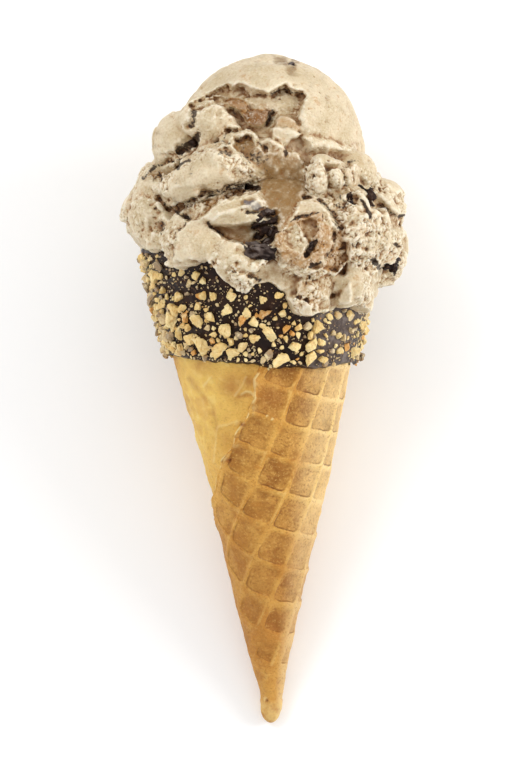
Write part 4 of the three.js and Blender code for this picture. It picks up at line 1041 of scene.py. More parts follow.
# The waffle cone
waffle = {
    "pitch": 10.75, "ridge": 2.2, "depth": 0.95,
    "lean": 23,                # of the grid's lines, to the right of the cone's side
    "shift": (3.0, 2.1),
    "start": 14, "fullRadius": 13,
    "smoothFrom": 66, "smoothLap": 0.8,
    "columns": 340, "rowStep": 0.58, "insideRows": 8,
    # columns across the sheet's edge: share of a turn, how far down the step
    "edgeColumns": [(0.0, 1.0), (0.0006, 0.72), (0.0012, 0.3), (0.0022, 0.05), (0.0042, 0.0)],
    "edgeTop": 0.0045,         # share of a turn where the edge itself ends
    "seamWander": 0.3,
    # how far the edge swings from the solid's: height, degrees
    "seamSwing": [(50, 0), (62, 4), (77.7, 9.7), (82.6, 7), (85.8, 8.7), (88.8, 8), (91.6, 9.1), (94, 7.1),
                  (97.4, 3.8), (99.5, 3.9), (102.1, 5.1), (105.3, 4.3), (108.1, 5.9), (111, 2.6),
                  (114.1, -0.3), (116.5, 0.7), (119.4, 0.7), (130, 0)],
    # where the edge curls up: height, length, lift
    "curls": [(113, 3.6, 0.9), (107.5, 1.3, 1.1), (99, 1.7, 1.1), (97, 0.8, 0.9), (88.5, 1.6, 1.1),
              (74, 1.5, 0.5), (62, 2.0, 0.4)],
    "dough": 0.2,              # unevenness of the sheet
    # how far the pattern lies to the left and below its straight lines: height, mm
    "drift": [(0, 3.1), (32, 3.1), (47, 2.6), (56, 2.3), (79, 0)],
    "drop": [(0, 2.2), (32, 2.0), (56, 1.0), (79, 0)],
    # how far the sheet stands out on the left and on the right: height, mm
    "leftSwell": [(0, 0), (5, -0.6), (9, -0.9), (16, -0.6), (38, -0.4), (49, -0.9), (73, -1.1), (93, -0.4),
                  (105, 0.2), (114, 0.6), (122, 0)],
    "rightSwell": [(90, 0), (100, -0.3), (114, -0.8), (122, -0.4), (130, 0)],
    # marks on the front plane: place, size, lift, pale, and stain with painted shade, dark beside the bumps
    # and in the pits
    "marks": [
        (-11.4, -0.9, 3.6, -0.1, 0, 0.55), (-20.6, 5.6, 4.2, 0, 0, 0.6), (-25.9, -5.7, 3.2, 0, 0, 0.45),
        (-5.4, 0.7, 1.6, -0.1, 0, 0.6), (-12.9, -23.6, 1.3, 0.5, 0.75, 0), (-11.9, -24.2, 0.6, -1.1, 0, 2.2),
        (-8.9, -12.2, 1.4, 0.5, 0.75, 0), (-7.4, -12.8, 0.6, -1.0, 0, 2.0), (0.3, -10.1, 0.4, 0.6, 1.3, 0),
        (-11.0, 2.5, 7.5, 0, 0, 0.3), (1.0, -3.5, 6.5, 0, 0, 0.5), (-6.0, -19.0, 5.0, 0, 0, 0.25),
        (-13.2, -17.0, 2.6, 0, 0, 0.4), (1.9, -11.0, 0.5, 0.7, 1.5, 0), (-0.3, -99.5, 1.2, 0.3, 0.8, 0),
        (0.2, -100.0, 0.5, -0.9, 0, 2.2), (2.2, -103.0, 1.3, -0.1, 0, 0.9),
    ],
    # folds on the front plane: width, lift, pale, stain with painted shade in the grooves, path
    "folds": [
        (0.7, 0.3, 0.7, 0, [(-17.0, 2.3), (-18.2, 0.8), (-19.4, -0.9)]),
        (0.7, 0.35, 0.7, 0, [(-6.2, 2.3), (-7.6, -0.6), (-9.8, -3.7)]),
        (0.5, 0.4, 1.0, 0, [(-7.8, -3.3), (-6.2, -2.3), (-4.5, -2.7), (-3.5, -4.1)]),
        (0.6, -0.25, 0, 0.5, [(-8.6, -4.2), (-6.8, -3.4), (-5.0, -3.6)]),
        (1.0, -0.2, 0, 0.5, [(-23.9, 1.6), (-21.1, -2.1), (-17.0, -6.9), (-15.8, -14.2)]),
        (0.7, 0.3, 0.6, 0, [(-9.4, -11.7), (-12.2, -12.9), (-15.4, -13.4), (-15.9, -16.0), (-15.8, -18.6),
                            (-16.6, -24.6)]),
        (0.8, 0.2, 0.5, 0, [(-22.6, -0.4), (-20.0, -5.0), (-18.5, -10.0)]),
    ],
}
lineTurn = math.radians(90 - waffle["lean"])
waffleFields = ("pressed", "crest", "inside", "sharp", "smoothZone", "edge", "tip", "toast", "stainAndShade",
                "paintedLight")       # for the colours


def spunGrid(rows, columns, poles):  # a tube whose points give row and column
    bm = bmesh.new()
    ends = (0, rows - 1) if poles else ()
    profile = [bm.verts.new((0.0 if row in ends else 1.0, row, 0.0)) for row in range(rows)]
    edges = [bm.edges.new(pair) for pair in zip(profile, profile[1:])]
    if not poles:
        edges.append(bm.edges.new((profile[-1], profile[0])))
    bmesh.ops.spin(bm, geom=profile + edges, axis=(0, 1, 0), cent=(0, 0, 0), angle=2 * math.pi,
                   steps=columns, use_merge=True)
    bmesh.ops.remove_doubles(bm, verts=bm.verts, dist=1e-4)
    mesh = meshFrom(bm, "grid")
    points = meshPoints(mesh)
    turns = (np.arctan2(points[:, 0], points[:, 2]) - math.pi / 2) / (2 * math.pi)
    return mesh, np.rint(points[:, 1]).astype(int), np.rint(turns * columns).astype(int) % columns


def outwards(mesh):  # closed mesh with its faces pointing out
    bm = bmesh.new()
    bm.from_mesh(mesh)
    bmesh.ops.recalc_face_normals(bm, faces=bm.faces)
    if bm.calc_volume(signed=True) < 0:
        bmesh.ops.reverse_faces(bm, faces=bm.faces)
    bm.to_mesh(mesh)
    bm.free()
    return mesh


def columnShares(count, edgeColumns):  # closest together at the front
    first = [share for share, step in edgeColumns]
    steps = [step for share, step in edgeColumns]
    even = np.linspace(0.0, 1.0, 2001)
    front = 1.0 + 1.1 * (np.cos(2 * math.pi * (even - 0.14)) + 0.1)
    reached = np.concatenate([[0], np.cumsum(np.maximum(front, 0.42))])[:-1]
    start = np.interp(first[-1], even, reached)
    rest = np.interp(np.linspace(start, reached[-1], count - len(first) + 2)[1:-1], reached, even)
    return np.concatenate([first, rest]), np.concatenate([steps, rest])


def unrolled(angles, heights):  # on the flat sheet, along the waffle's lines
    slant = (heights - apex) / math.cos(halfAngle)
    swing = np.radians(angles) * math.sin(halfAngle)
    across, along = slant * np.sin(swing), slant * np.cos(swing)
    up = across * math.cos(lineTurn) + along * math.sin(lineTurn)
    left = along * math.cos(lineTurn) - across * math.sin(lineTurn)
    return up, left


def rolledBack(up, left):  # angle and height of a place on the flat sheet
    across = up * math.cos(lineTurn) - left * math.sin(lineTurn)
    along = up * math.sin(lineTurn) + left * math.cos(lineTurn)
    angles = np.degrees(np.arctan2(across, along)) / math.sin(halfAngle)
    return angles, apex + np.hypot(across, along) * math.cos(halfAngle)


def waffleRelief(angles, heights, shares, spots):
    away = np.interp(heights, *zip(*waffle["drift"])) / np.maximum(straightRadius(heights), 2.0)
    up, left = unrolled(angles + np.degrees(away), heights + np.interp(heights, *zip(*waffle["drop"])))
    pitch, (upShift, leftShift) = waffle["pitch"], waffle["shift"]
    up, left = (up - upShift) / pitch, (left - leftShift) / pitch
    up += 0.02 * softNoise(spots, 9.0, 51)
    left += 0.02 * softNoise(spots, 9.0, 52)
    rowOf, lineOf = np.rint(up), np.rint(left)
    middleAngle, middleHeight = rolledBack(rowOf * pitch + upShift, lineOf * pitch + leftShift)
    middleShare = (middleAngle - edgeAngle(middleHeight)) / 360
    shrink = np.clip(straightRadius(middleHeight) / waffle["fullRadius"], 0.5, 1)
    half = (pitch - waffle["ridge"]) / 2 * shrink
    overUp, overLeft = (up - rowOf) * pitch, (left - lineOf) * pitch
    reach = (np.abs(overUp) ** 8 + np.abs(overLeft) ** 8) ** 0.125
    reach += 0.2 * softNoise(spots, 3.0, 53)
    inside = half + 0.35 - reach  # from the hollow's edge
    allowed = (middleHeight > waffle["start"] - 4) & (middleShare < 1.0) & (middleShare > -0.1)
    smooth = smoothStep(shares, waffle["smoothLap"] - 0.03, waffle["smoothLap"] + 0.05)
    smooth = smooth * smoothStep(heights, waffle["smoothFrom"] - 8, waffle["smoothFrom"] + 6)
    rim = np.minimum(shares, 1 - shares) * 2 * math.pi * straightRadius(heights)
    worn = smoothStep(softNoise(spots, 8.0, 62, 2), -0.7, 0.5)  # the press leaves it uneven
    strength = allowed * smoothStep(heights, 10, 16) * (1 - 0.5 * smooth) * smoothStep(rim, 0.3, 1.8)
    strength = strength * (0.55 + 0.45 * smoothStep(np.sin(np.radians(angles)), -0.6, 0.3))
    strength = strength * (0.72 + 0.28 * worn)
    strength = strength * (0.82 + 0.3 * cellDraw(np.stack([rowOf, lineOf, rowOf * 0], axis=1), 2))
    low = smoothStep(0.55 * overLeft - overUp, -1.5, 3.5)  # the lower left edge of each hollow
    soft = 0.75 + 0.7 * (1 - low)  # the other edges fade
    pressed = smoothStep(inside, -0.8 * soft, 0.8 * soft) * strength
    # the ridge round each hollow, raised a little and painted as a highlight, most on its right side
    right = smoothStep(-overLeft, 1.0, 3.5)
    crest = np.exp(-((inside + 0.9) / 0.75) ** 2) * strength
    crest = crest * np.maximum(right, 0.3 * low) * (0.3 + 0.7 * worn)
    # sharp also sets how strong the painted shade line along the edge is
    sharp = low * strength * (0.35 + 0.65 * worn) * (1 - smooth)  # how sharp its edge is
    return pressed, crest, np.clip(inside, -2, 2), sharp, smooth


def waffleSheet():
    tip = [0.0, 0.03, 0.12, 0.3, 0.6, 1.0, 1.5, 2.1]
    rows = np.concatenate([tip, np.arange(2.7, coneShape["length"] - 0.2, waffle["rowStep"]),
                           [coneShape["length"]]])
    inside = np.linspace(coneShape["length"], coneShape["solidTip"], waffle["insideRows"])
    outer, count = len(rows), len(rows) + len(inside)
    mesh, row, column = spunGrid(count, waffle["columns"], True)
    shares, steps = columnShares(waffle["columns"], waffle["edgeColumns"])
    share, step = shares[column], steps[column]
    heights = np.concatenate([rows, inside])[row]
    within = row >= outer
    width = 2 * math.pi * straightRadius(heights)
    edgeSpots = np.stack([np.zeros(len(heights)), heights, np.zeros(len(heights))], axis=1)
    wander = softNoise(edgeSpots, 3.4, 55) + 0.5 * softNoise(edgeSpots, 1.2, 56)
    shift = waffle["seamWander"] * wander * smoothStep(heights, 12, 30)
    swing = np.interp(heights, *zip(*waffle["seamSwing"]))
    swing += np.degrees(shift / np.maximum(straightRadius(heights), 2.0))
    away = np.minimum(share, 1 - share) * width  # from the edge, in mm
    angles = edgeAngle(heights) + share * 360 + swing * np.exp(-away / 9.0) * ~within
    radius = sheetRadius(heights, step)
    spots = aroundAxis(angles, radius, heights)
    pressed, crest, inside, sharp, smooth = waffleRelief(angles, heights, share, spots)
    curl = sum(lift * np.exp(-((heights - middle) / half) ** 2) for middle, half, lift in waffle["curls"])
    top = share < waffle["edgeTop"]
    after = np.exp(-share * width / 1.5)
    band = np.exp(-share * width / 4.5) * smoothStep(heights, 20, 60)  # bubbles beside the edge
    bubble = smoothStep(softNoise(spots, 2.4, 63, 2), 0.0, 0.55) * band
    broken = smoothStep(softNoise(edgeSpots, 2.2, 64), -0.35, 0.3)
    curled = np.minimum(curl, 1)
    edge = np.where(top, 1.0, 0.0) * smoothStep(heights, 14, 30) * np.maximum(0.25 + 0.6 * broken, curled)
    edge = np.maximum(edge, curled * after)
    edge = np.maximum(edge, 0.75 * bubble)
    wrinkle = softNoise(spots * (1.0, 0.6, 1.0), 2.4, 57)
    side = np.sin(np.radians(angles))
    relief = (-waffle["depth"] * pressed + 0.16 * crest) * (1 - 0.45 * smoothStep(np.abs(side), 0.75, 0.98))
    relief += waffle["dough"] * (softNoise(spots, 7.0, 58, 2) + 0.5 * softNoise(spots, 2.2, 59))
    relief += curl * np.where(top, 1.0, 0.8 * after) * (1 - 0.5 * (step > 0.5))
    relief += 0.35 * bubble + 0.16 * top * softNoise(spots, 1.5, 60) - 0.25 * smoothStep(heights, 60, 20)
    relief += 0.2 * smooth * np.abs(wrinkle)
    knob = smoothStep(heights, 1, 4) * (1 - smoothStep(heights, 7.2, 8.4))  # the swollen tip
    relief += 0.45 * knob * (0.5 + 0.5 * softNoise(spots, 4.0, 61))
    seen = frontPlane(spots)
    # brown stain, with painted shade in the pits and grooves
    stainAndShade = np.zeros(len(spots))
    drawn = [(np.exp(-(((seen - (x, y)) / size) ** 2).sum(axis=1)), *rest)
             for x, y, size, *rest in waffle["marks"]]
    drawn += [(np.exp(-(pathDistance(seen, path) / size) ** 2), *rest)
              for size, *rest, path in waffle["folds"]]
    for near, lift, pale, dark in drawn:
        near = near * (spots[:, 2] > 0)
        relief = relief + lift * near
        edge = np.maximum(edge, pale * near)
        stainAndShade = stainAndShade + dark * near
    relief += np.interp(heights, *zip(*waffle["leftSwell"])) * smoothStep(-side, 0.2, 0.9)
    relief += np.interp(heights, *zip(*waffle["rightSwell"])) * smoothStep(side, 0.2, 0.9)
    paler = 1 - 0.5 * smoothStep((1 - share) * width, 15, 3)
    # painted light: paler towards the cone's right side, as if lit strongly from the right
    paintedLight = smoothStep(side, 0.3, 0.88) * (1 - 0.45 * pressed)
    radius = radius + relief * smoothStep(heights, 0.5, 4)
    radius = np.where(within, insideRadius(heights), radius)
    radius = np.where((row == 0) | (row == count - 1), 0.0, radius)
    points = aboveFloor(aroundAxis(angles, radius, heights))
    setPoints(mesh, points)
    tipShare, toast = 1 - smoothStep(heights, 5.5, 9.0), smoothStep(heights, 88, 40)
    fields = (pressed, crest, inside, sharp, smooth * paler, edge, tipShare, toast, stainAndShade, paintedLight)
    for name, values in zip(waffleFields, fields):
        setAttribute(mesh, name, values * ~within)
    return outwards(mesh)


def waffleMaterial():
    shader = Shader("waffle")
    pressed, crest, inside, sharp, smoothZone, edge, tip, toast, stainAndShade, paintedLight = (
        shader.attribute(name) for name in waffleFields)
    cloud, blotch, speck = shader.noise(14, 3), shader.noise(3.4, 3), shader.noise(0.8, 3, 0.65)
    uneven = 0.5 * (blotch - 0.5)
    base = shader.mix(shader.spread(cloud + 0.6 * (blotch - 0.5), 0.32, 0.66), colour(204, 142, 58),
                      colour(228, 174, 84))
    base = shader.layers(
        base,
        (0.85 * smoothZone, 248, 209, 108),
        (smoothZone * shader.spread(cloud + uneven, 0.56, 0.7) * 0.55, 224, 170, 88),
        (smoothZone * shader.spread(blotch, 0.46, 0.34) * 0.5, 250, 216, 130),
    )
    floor = shader.mix(shader.spread(cloud + 0.8 * (blotch - 0.5), 0.34, 0.66), colour(148, 92, 28),
                       colour(196, 141, 64))
    floor = shader.layers(
        floor,
        (shader.spread(speck, 0.52, 0.68) * 0.65, 132, 78, 28),
        (shader.spread(speck, 0.44, 0.3) * 0.3, 208, 154, 74),
    )
    base = shader.mix(shader.spread(pressed + uneven, 0.1, 1.0) * 0.92, base, floor)
    # a painted shade line along the lower left edge of each hollow, and a painted highlight on the lip just
    # outside it
    place = inside + uneven + 0.25 * (speck - 0.5)  # across the edge of a hollow
    line = shader.spread(place, -0.25, 0.05) * shader.spread(place, 0.6, 0.1)
    lip = shader.spread(place, -0.8, -0.45) * shader.spread(place, -0.15, -0.35)
    sandy = 1 - 0.8 * smoothZone
    base = shader.layers(
        base,
        # painted light on the right side
        (0.84 * paintedLight, 254, 224, 162),
        # painted highlight on the ridges
        (shader.spread(crest + uneven, 0.2, 0.95) * 0.6, 246, 204, 118),
        ((0.85 - 0.4 * paintedLight) * sharp * line, 108, 60, 20),
        (0.5 * sharp * paintedLight * lip, 255, 226, 160),
        (sandy * shader.spread(speck, 0.52, 0.68) * 0.5, 158, 98, 40),
        (sandy * shader.spread(speck, 0.46, 0.32) * 0.3, 250, 208, 124),
        (0.35 * toast, 168, 106, 42),
        (shader.spread(edge + uneven, 0.3, 1.0) * 0.8, 252, 226, 156),
        (0.7 * shader.spread(stainAndShade + uneven, 0.0, 1.1), 172, 106, 50),
        # painted shade: near black in the pits beside the bumps and in the tip's hole
        (0.8 * shader.spread(stainAndShade, 1.2, 2.0), 96, 52, 24),
        (tip * shader.spread(blotch, 0.35, 0.6) * 0.6, 240, 206, 132),
    )
    grain = shader.noise(0.5, 3, 0.6) + 0.8 * pressed * shader.noise(1.1, 2) + 0.8 * shader.noise(2.4, 2)
    grain = grain - 1.2 * sharp * shader.spread(place, -0.2, 0.35)
    return shader.finish({
        "Base Color": base,
        "Roughness": 0.58 - 0.1 * smoothZone,
        "Normal": shader.bump(grain, 0.5, 0.95),
        "Specular IOR Level": 0.28,
        "Subsurface Weight": 0.06,
        "Subsurface Radius": (1.0, 0.55, 0.25),
        "Subsurface Scale": 0.001,
    })


def makeWaffleCone():
    mesh = waffleSheet()
    finishPiece("waffleCone", mesh, waffleMaterial(), "waffle", "waffle_cone")
    print("waffle cone", len(mesh.polygons))


# The chocolate on the rim
chocolate = {
    "columns": 300, "rows": 52,
    "lip": 1.1,                # height of the rounded lower edge
    "lump": 0.35,
    # a painted sheen on the coat's right side
    "slateSide": (20, 32, 62, 80),                     # where it is paler, in degrees
}


def dipEdge(angles):  # the solid's, a little higher on the left of the front
    turns = np.radians(angles)
    solid = coneShape["dipStart"] + coneShape["dipWave"] * (np.sin(3 * turns) + np.sin(7 * turns))
    turned = (angles + 180) % 360 - 180
    left = smoothStep(turned, -105, -75) * (1 - smoothStep(turned, -8, 12))
    return solid + left * (118.9 + 0.015 * (-15 - turned) - solid)


def coatSurface(angles, heights):  # outside radius, with its lumps
    share = ((angles - edgeAngle(heights)) / 360) % 1.0
    radius = sheetRadius(heights, share) + coneShape["gap"] + coneShape["dipThickness"]
    spots = aroundAxis(angles, radius, heights)
    lumps = softNoise(spots, 6.0, 71) * 0.6 + 0.3 * softNoise(spots, 2.0, 72) - 0.25
    return radius + chocolate["lump"] * lumps


def chocolateCoat():
    rows, columns = chocolate["rows"], chocolate["columns"]
    mesh, row, column = spunGrid(rows, columns, False)
    angles = 360.0 * column / columns
    top = coneShape["length"] + coneShape["gap"] + coneShape["rimCoat"]
    spots = aroundAxis(angles, 34.0, 118.0)
    low = dipEdge(angles) + 0.35 * softNoise(spots, 3.0, 73)
    outer = rows - 6  # the last rows close the coat inside
    rise = np.clip(row / (outer - 1), 0, 1)
    heights = low + (top - low) * rise
    radius = coatSurface(angles, heights)
    share = ((angles - edgeAngle(heights)) / 360) % 1.0
    bare = sheetRadius(heights, share) + 0.5 * coneShape["gap"]
    over = heights - low
    lip = np.sqrt(np.clip(1 - (1 - np.clip(over / chocolate["lip"], 0, 1)) ** 2, 0, 1))
    radius = bare + (radius - bare) * lip
    radius -= 0.6 * smoothStep(heights, top - 0.9, top)
    inner = insideRadius(np.full(len(row), coneShape["length"])) + 0.4
    steps = {outer: (inner, top - 0.1), outer + 1: (inner - 0.2, top - 0.6), outer + 2: (inner, top - 1.1)}
    for index, (size, height) in steps.items():
        radius, heights = np.where(row == index, size, radius), np.where(row == index, height, heights)
    rimTop = coneShape["length"] + 0.5 * coneShape["gap"]
    for index, height in ((outer + 3, rimTop), (outer + 4, 134.0), (outer + 5, low + 0.8)):
        share = ((angles - edgeAngle(height * np.ones(len(row)))) / 360) % 1.0
        size = sheetRadius(height * np.ones(len(row)), share) + 0.5 * coneShape["gap"]
        radius, heights = np.where(row == index, size, radius), np.where(row == index, height, heights)
    setPoints(mesh, aboveFloor(aroundAxis(angles, radius, heights)))
    around = (angles + 180) % 360 - 180
    start, full, fading, end = chocolate["slateSide"]
    sheen = smoothStep(around, start, full) * (1 - smoothStep(around, fading, end))
    setAttribute(mesh, "sheen", sheen)
    return outwards(mesh)


def chocolateMaterial(name, paintedLight):
    shader = Shader(name)
    sheen, cloud, fine = shader.attribute("sheen"), shader.noise(5, 3), shader.noise(1.2, 3)
    base = shader.mix(shader.spread(cloud, 0.35, 0.7), colour(30, 15, 9), colour(50, 30, 20))
    # painted sheen: slate grey where the sheen attribute is, with paler patches in it
    slate = paintedLight * shader.spread(sheen + 1.1 * (cloud - 0.5) + 0.7 * (fine - 0.5), 0.4, 0.95)
    base = shader.layers(
        base,
        (slate, 86, 73, 67),
        (slate * shader.spread(cloud + 0.5 * (fine - 0.5), 0.5, 0.72) * 0.8, 134, 123, 116),
        # lighter brown flecks, partly the chocolate's speckle and partly painted glints
        (shader.spread(fine, 0.56, 0.72) * 0.5, 112, 84, 62),
    )
    return shader.finish({
        "Base Color": base,
        "Roughness": shader.spread(cloud + 0.6 * (fine - 0.5), 0.25, 0.75, 0.28, 0.55),
        "Normal": shader.bump(fine + 0.8 * shader.noise(2.6, 2), 0.4, 0.8),
        "Specular IOR Level": 0.19,
    })


# Chopped nuts
nuts = {
    "count": 54, "largest": 6.6, "smallest": 3.4, "spacing": 0.46, "seed": 41,     # as in the solid
    "thick": (-100, 28),       # where they lie thickly, in degrees
    "elsewhere": 0.55,         # how thickly on the rest
    "bare": (28, 62), "bareShare": 0.12,               # where few lie
    "fewer": (-56, 28), "fewerHeights": (131, 140),    # where they thin out towards the ice cream
    "sunk": (55, 125),         # where they lie deeper in the chocolate
    # shapes of each piece: count, detail, most faces, seed and how far they stand out
    "choppedNuts": (18, 4, 420, 11, 0.14),
    "smallNuts": (12, 3, 72, 12, 0.12),
    "nutCrumbs": (8, 2, 40, 13, 0.1),
    "sharpAngle": 14,
    # smaller ones: count, sizes, spacing, angles
    "edgeLeft": (60, (2.6, 5.2), 0.31, (-105, -42)),
    "edgeRight": (12, (2.4, 3.8), 0.4, (62, 100)),
    "small": (640, (1.6, 4.8), 0.34, (-180, 180)),
    "crumbs": (1700, (0.35, 1.5), 0.4, (-180, 180)),
    "hanging": 16,             # crumbs below the chocolate's edge
    # the largest at the front: place on the front plane, size and tone
    "front": [
        (-34.4, 34.1, 5.6, 0.2), (-32.2, 25.3, 4.6, 0.3), (-29.4, 20.8, 5.9, 0.1), (-30.6, 12.9, 5.8, 0.2),
        (-26.5, 35.4, 3.4, 0.1), (-27.2, 15.2, 4.9, 0.4), (-25.3, 20.8, 3.8, 0.96), (-21.2, 19.9, 5.4, 0.3),
        (-21.5, 24.3, 3.4, 0.2), (-21.2, 27.8, 2.8, 0.97), (-20.2, 12.3, 6.3, 0.25), (-16.7, 28.4, 3.4, 0.4),
        (-16.4, 15.8, 3.9, 0.3), (-14.5, 10.7, 5.8, 0.4), (-12.0, 17.7, 5.9, 0.15), (-11.7, 23.4, 4.3, 0.1),
        (-11.0, 13.6, 3.0, 0.5), (-7.9, 19.9, 4.8, 0.95), (-7.6, 12.3, 4.4, 0.55), (-6.3, 22.7, 4.4, 0.1),
        (-4.1, 14.5, 4.4, 0.3), (-1.3, 26.8, 3.3, 0.2), (-1.3, 18.2, 3.0, 0.3), (0.9, 15.2, 5.8, 0.05),
        (4.7, 22.4, 4.0, 0.2), (4.1, 28.1, 3.0, 0.4), (4.7, 7.9, 6.2, 0.2), (0.4, 9.4, 3.6, 0.85),
        (9.8, 18.0, 3.2, 0.5), (14.2, 12.3, 5.6, 0.1), (15.5, 18.0, 5.0, 0.4), (13.3, 8.2, 5.2, 0.25),
        (17.0, 13.6, 3.6, 0.1), (27.2, 10.1, 4.6, 0.2), (29.7, 18.6, 4.2, 0.3), (24.2, 14.5, 2.6, 0.7),
    ],
}


def nutShapes(count, detail, most, seed):  # chopped pieces, up to 1 long
    draws = random.Random(seed)
    shapes = []
    for number in range(count):
        bm = bmesh.new()
        bmesh.ops.create_icosphere(bm, subdivisions=detail, radius=0.5)
        mesh = meshFrom(bm, f"nut{number}")
        points = meshPoints(mesh)
        for cut in range(6 + draws.randrange(3)):
            out = np.array([draws.gauss(0, 1), draws.gauss(0, 1), draws.gauss(0, 0.8)])
            out /= np.linalg.norm(out)
            over = np.maximum(points @ out - draws.uniform(0.12, 0.36), 0)
            points -= 0.96 * over[:, None] * out
        if detail > 2:
            near, second, middle, offset = cellNoise(points, 0.3, seed + number)
            lean = np.stack([cellDraw(middle, turn) - 0.5 for turn in (1, 2, 3)], axis=1)
            push = 0.4 * (offset * lean).sum(axis=1) + 0.12 * (cellDraw(middle, 4) - 0.5)
            push += 0.028 * softNoise(points, 0.13, seed)
            points *= 1 + (push / np.maximum(np.linalg.norm(points, axis=1), 0.05))[:, None]
        setPoints(mesh, points * (0.5 / np.linalg.norm(points, axis=1).max()))
        if most < len(mesh.polygons):
            mesh = throughModifiers(mesh, ("DECIMATE", {"ratio": most / len(mesh.polygons)}))
        shapes.append(mesh)
    return shapes


def nutShare(angle):  # how thickly the nuts lie
    if nuts["bare"][0] < angle < nuts["bare"][1]:
        return nuts["bareShare"]
    return 1.0 if nuts["thick"][0] < angle < nuts["thick"][1] else nuts["elsewhere"]


def sunkSide(angle):
    return nuts["sunk"][0] < angle < nuts["sunk"][1]


def solidNuts():  # the places and sizes that the solid has
    draw = seededDraws(nuts["seed"])
    placed = []
    while len(placed) < nuts["count"]:
        share = math.sqrt(len(placed) / nuts["count"])
        size = nuts["largest"] + (nuts["smallest"] - nuts["largest"]) * share
        angle = -180 + 360 * draw()
        low, high = coneShape["dipStart"] + 0.5, coneShape["length"] - 1
        height = low + (high - low) * draw()
        radius = coatRadius(np.array(angle), np.array(height))
        middle = Vector(aroundAxis(np.array(angle), radius + 0.2, height))
        close = any((other - middle).length < nuts["spacing"] * (wide + size)
                    for other, wide, where in placed)
        kept = draw() < nutShare(angle)
        if close or not kept or height + size * 0.6 > float(hemHeight(angle)) - 0.8:
            continue
        placed.append((middle, size, angle))
        for skipped in range(16):  # what the solid's shape takes
            draw()
    return placed


def onCoat(x, y):  # where a sight line meets the coat: angle and height
    line = sightLine(x, y)
    place = eye.copy()
    step = cameraValues["distance"] - 60
    for turn in range(400):
        place = eye + line * step
        angle = math.degrees(math.atan2(place.x, place.z))
        if math.hypot(place.x, place.z) < float(coatRadius(np.array(angle), np.array(place.y))):
            return angle, place.y
        step += 0.2
    return None


def placeNuts():  # middle, size, angle and tone of each
    draws = random.Random(5)
    placed = []

    def clear(middle, size, spacing):
        return all((other[0] - middle).length > spacing * (other[1] + size) for other in placed)

    for x, y, size, tone in nuts["front"]:
        found = onCoat(x, y)
        if found:
            angle, height = found
            radius = float(coatRadius(np.array(angle), np.array(height)))
            placed.append((Vector(aroundAxis(np.array(angle), radius + 0.1, height)), size, angle, tone))
    for middle, size, angle in solidNuts():
        height = onAxis(np.array([middle]))[2][0]
        if sunkSide(angle):
            middle = Vector((middle.x * (1 - 0.007 * size), middle.y, middle.z * (1 - 0.007 * size)))
        if clear(middle, size, 0.42) and height > float(dipEdge(np.array(angle))) + 0.3 * size:
            placed.append((middle, size, angle, draws.random()))
    counts = [len(placed)]
    for kind in ("edgeLeft", "edgeRight", "small", "crumbs"):
        count, (least, most), spacing, (start, end) = nuts[kind]
        wanted, tries = len(placed) + count, 0
        while len(placed) < wanted and tries < 9 * count:
            tries += 1
            angle = draws.uniform(start, end)
            size = least + (most - least) * draws.random() ** 1.7
            low = float(dipEdge(np.array(angle))) + 0.3 * size + 0.4
            height = low + (coneShape["length"] - low) * draws.random()
            if height + 0.3 * size > float(hemHeight(angle)) + 0.4:
                continue
            patchy = noise.noise(Vector(aroundAxis(np.array(angle), 34, height)) / 4.5)
            share = nutShare(angle) ** (0.35 if most < 2 else 0.6)
            if nuts["fewer"][0] < angle < nuts["fewer"][1]:
                thinner = float(smoothStep(np.array(height), *nuts["fewerHeights"]))
                share *= 1 - (0.85 if most > 2 else 0.5) * thinner
            if kind == "edgeLeft" and angle > -82 and height > 138:
                continue
            if count > 100 and (draws.random() > share or patchy < draws.uniform(-0.6, 0.3)):
                continue
            radius = float(coatSurface(np.array([angle]), np.array([height]))[0])
            sunk = 0.15 if sunkSide(angle) else -0.1
            middle = Vector(aroundAxis(np.array(angle), radius - sunk * size, height))
            if clear(middle, size, spacing):
                tone = draws.random()
                placed.append((middle, size, angle, tone if most > 2 else 0.56 + 0.4 * tone))
        counts.append(len(placed))
    for number in range(nuts["hanging"]):
        angle, size = draws.uniform(-180, 180), draws.uniform(0.6, 2.2)
        height = float(dipEdge(np.array(angle))) - draws.uniform(0.0, 0.35) * size
        share = ((angle - edgeAngle(height)) / 360) % 1.0
        radius = float(sheetRadius(np.array(height), share)) + 0.35 * size
        placed.append((Vector(aroundAxis(np.array(angle), radius, height)), size, angle, draws.random()))
    return placed, counts[2], counts[3]


def joinNuts(name, placed, shapes, stand):
    draws = random.Random(len(placed))
    bm = bmesh.new()
    counts = []
    for middle, size, angle, tone in placed:
        mesh = draws.choice(shapes).copy()
        turn = Matrix.Rotation(math.radians(angle), 4, "Y")
        spin = Matrix.Rotation(draws.uniform(0, 6.28), 4, "Z") @ Matrix.Rotation(draws.gauss(0, 0.5), 4, "X")
        squash = Matrix.Diagonal((draws.uniform(1.0, 1.3) * size, draws.uniform(0.85, 1.15) * size,
                                  draws.uniform(0.7, 0.95) * size, 1.0))
        lift = Matrix.Translation((0, 0, stand * size))
        mesh.transform(Matrix.Translation(middle) @ turn @ lift @ spin @ squash)
        bm.from_mesh(mesh)
        counts.append(len(mesh.vertices))
        bpy.data.meshes.remove(mesh)
    joined = meshFrom(bm, name)
    setPoints(joined, aboveFloor(meshPoints(joined)))
    setAttribute(joined, "tone", np.repeat([tone for middle, size, angle, tone in placed], counts))
    return joined


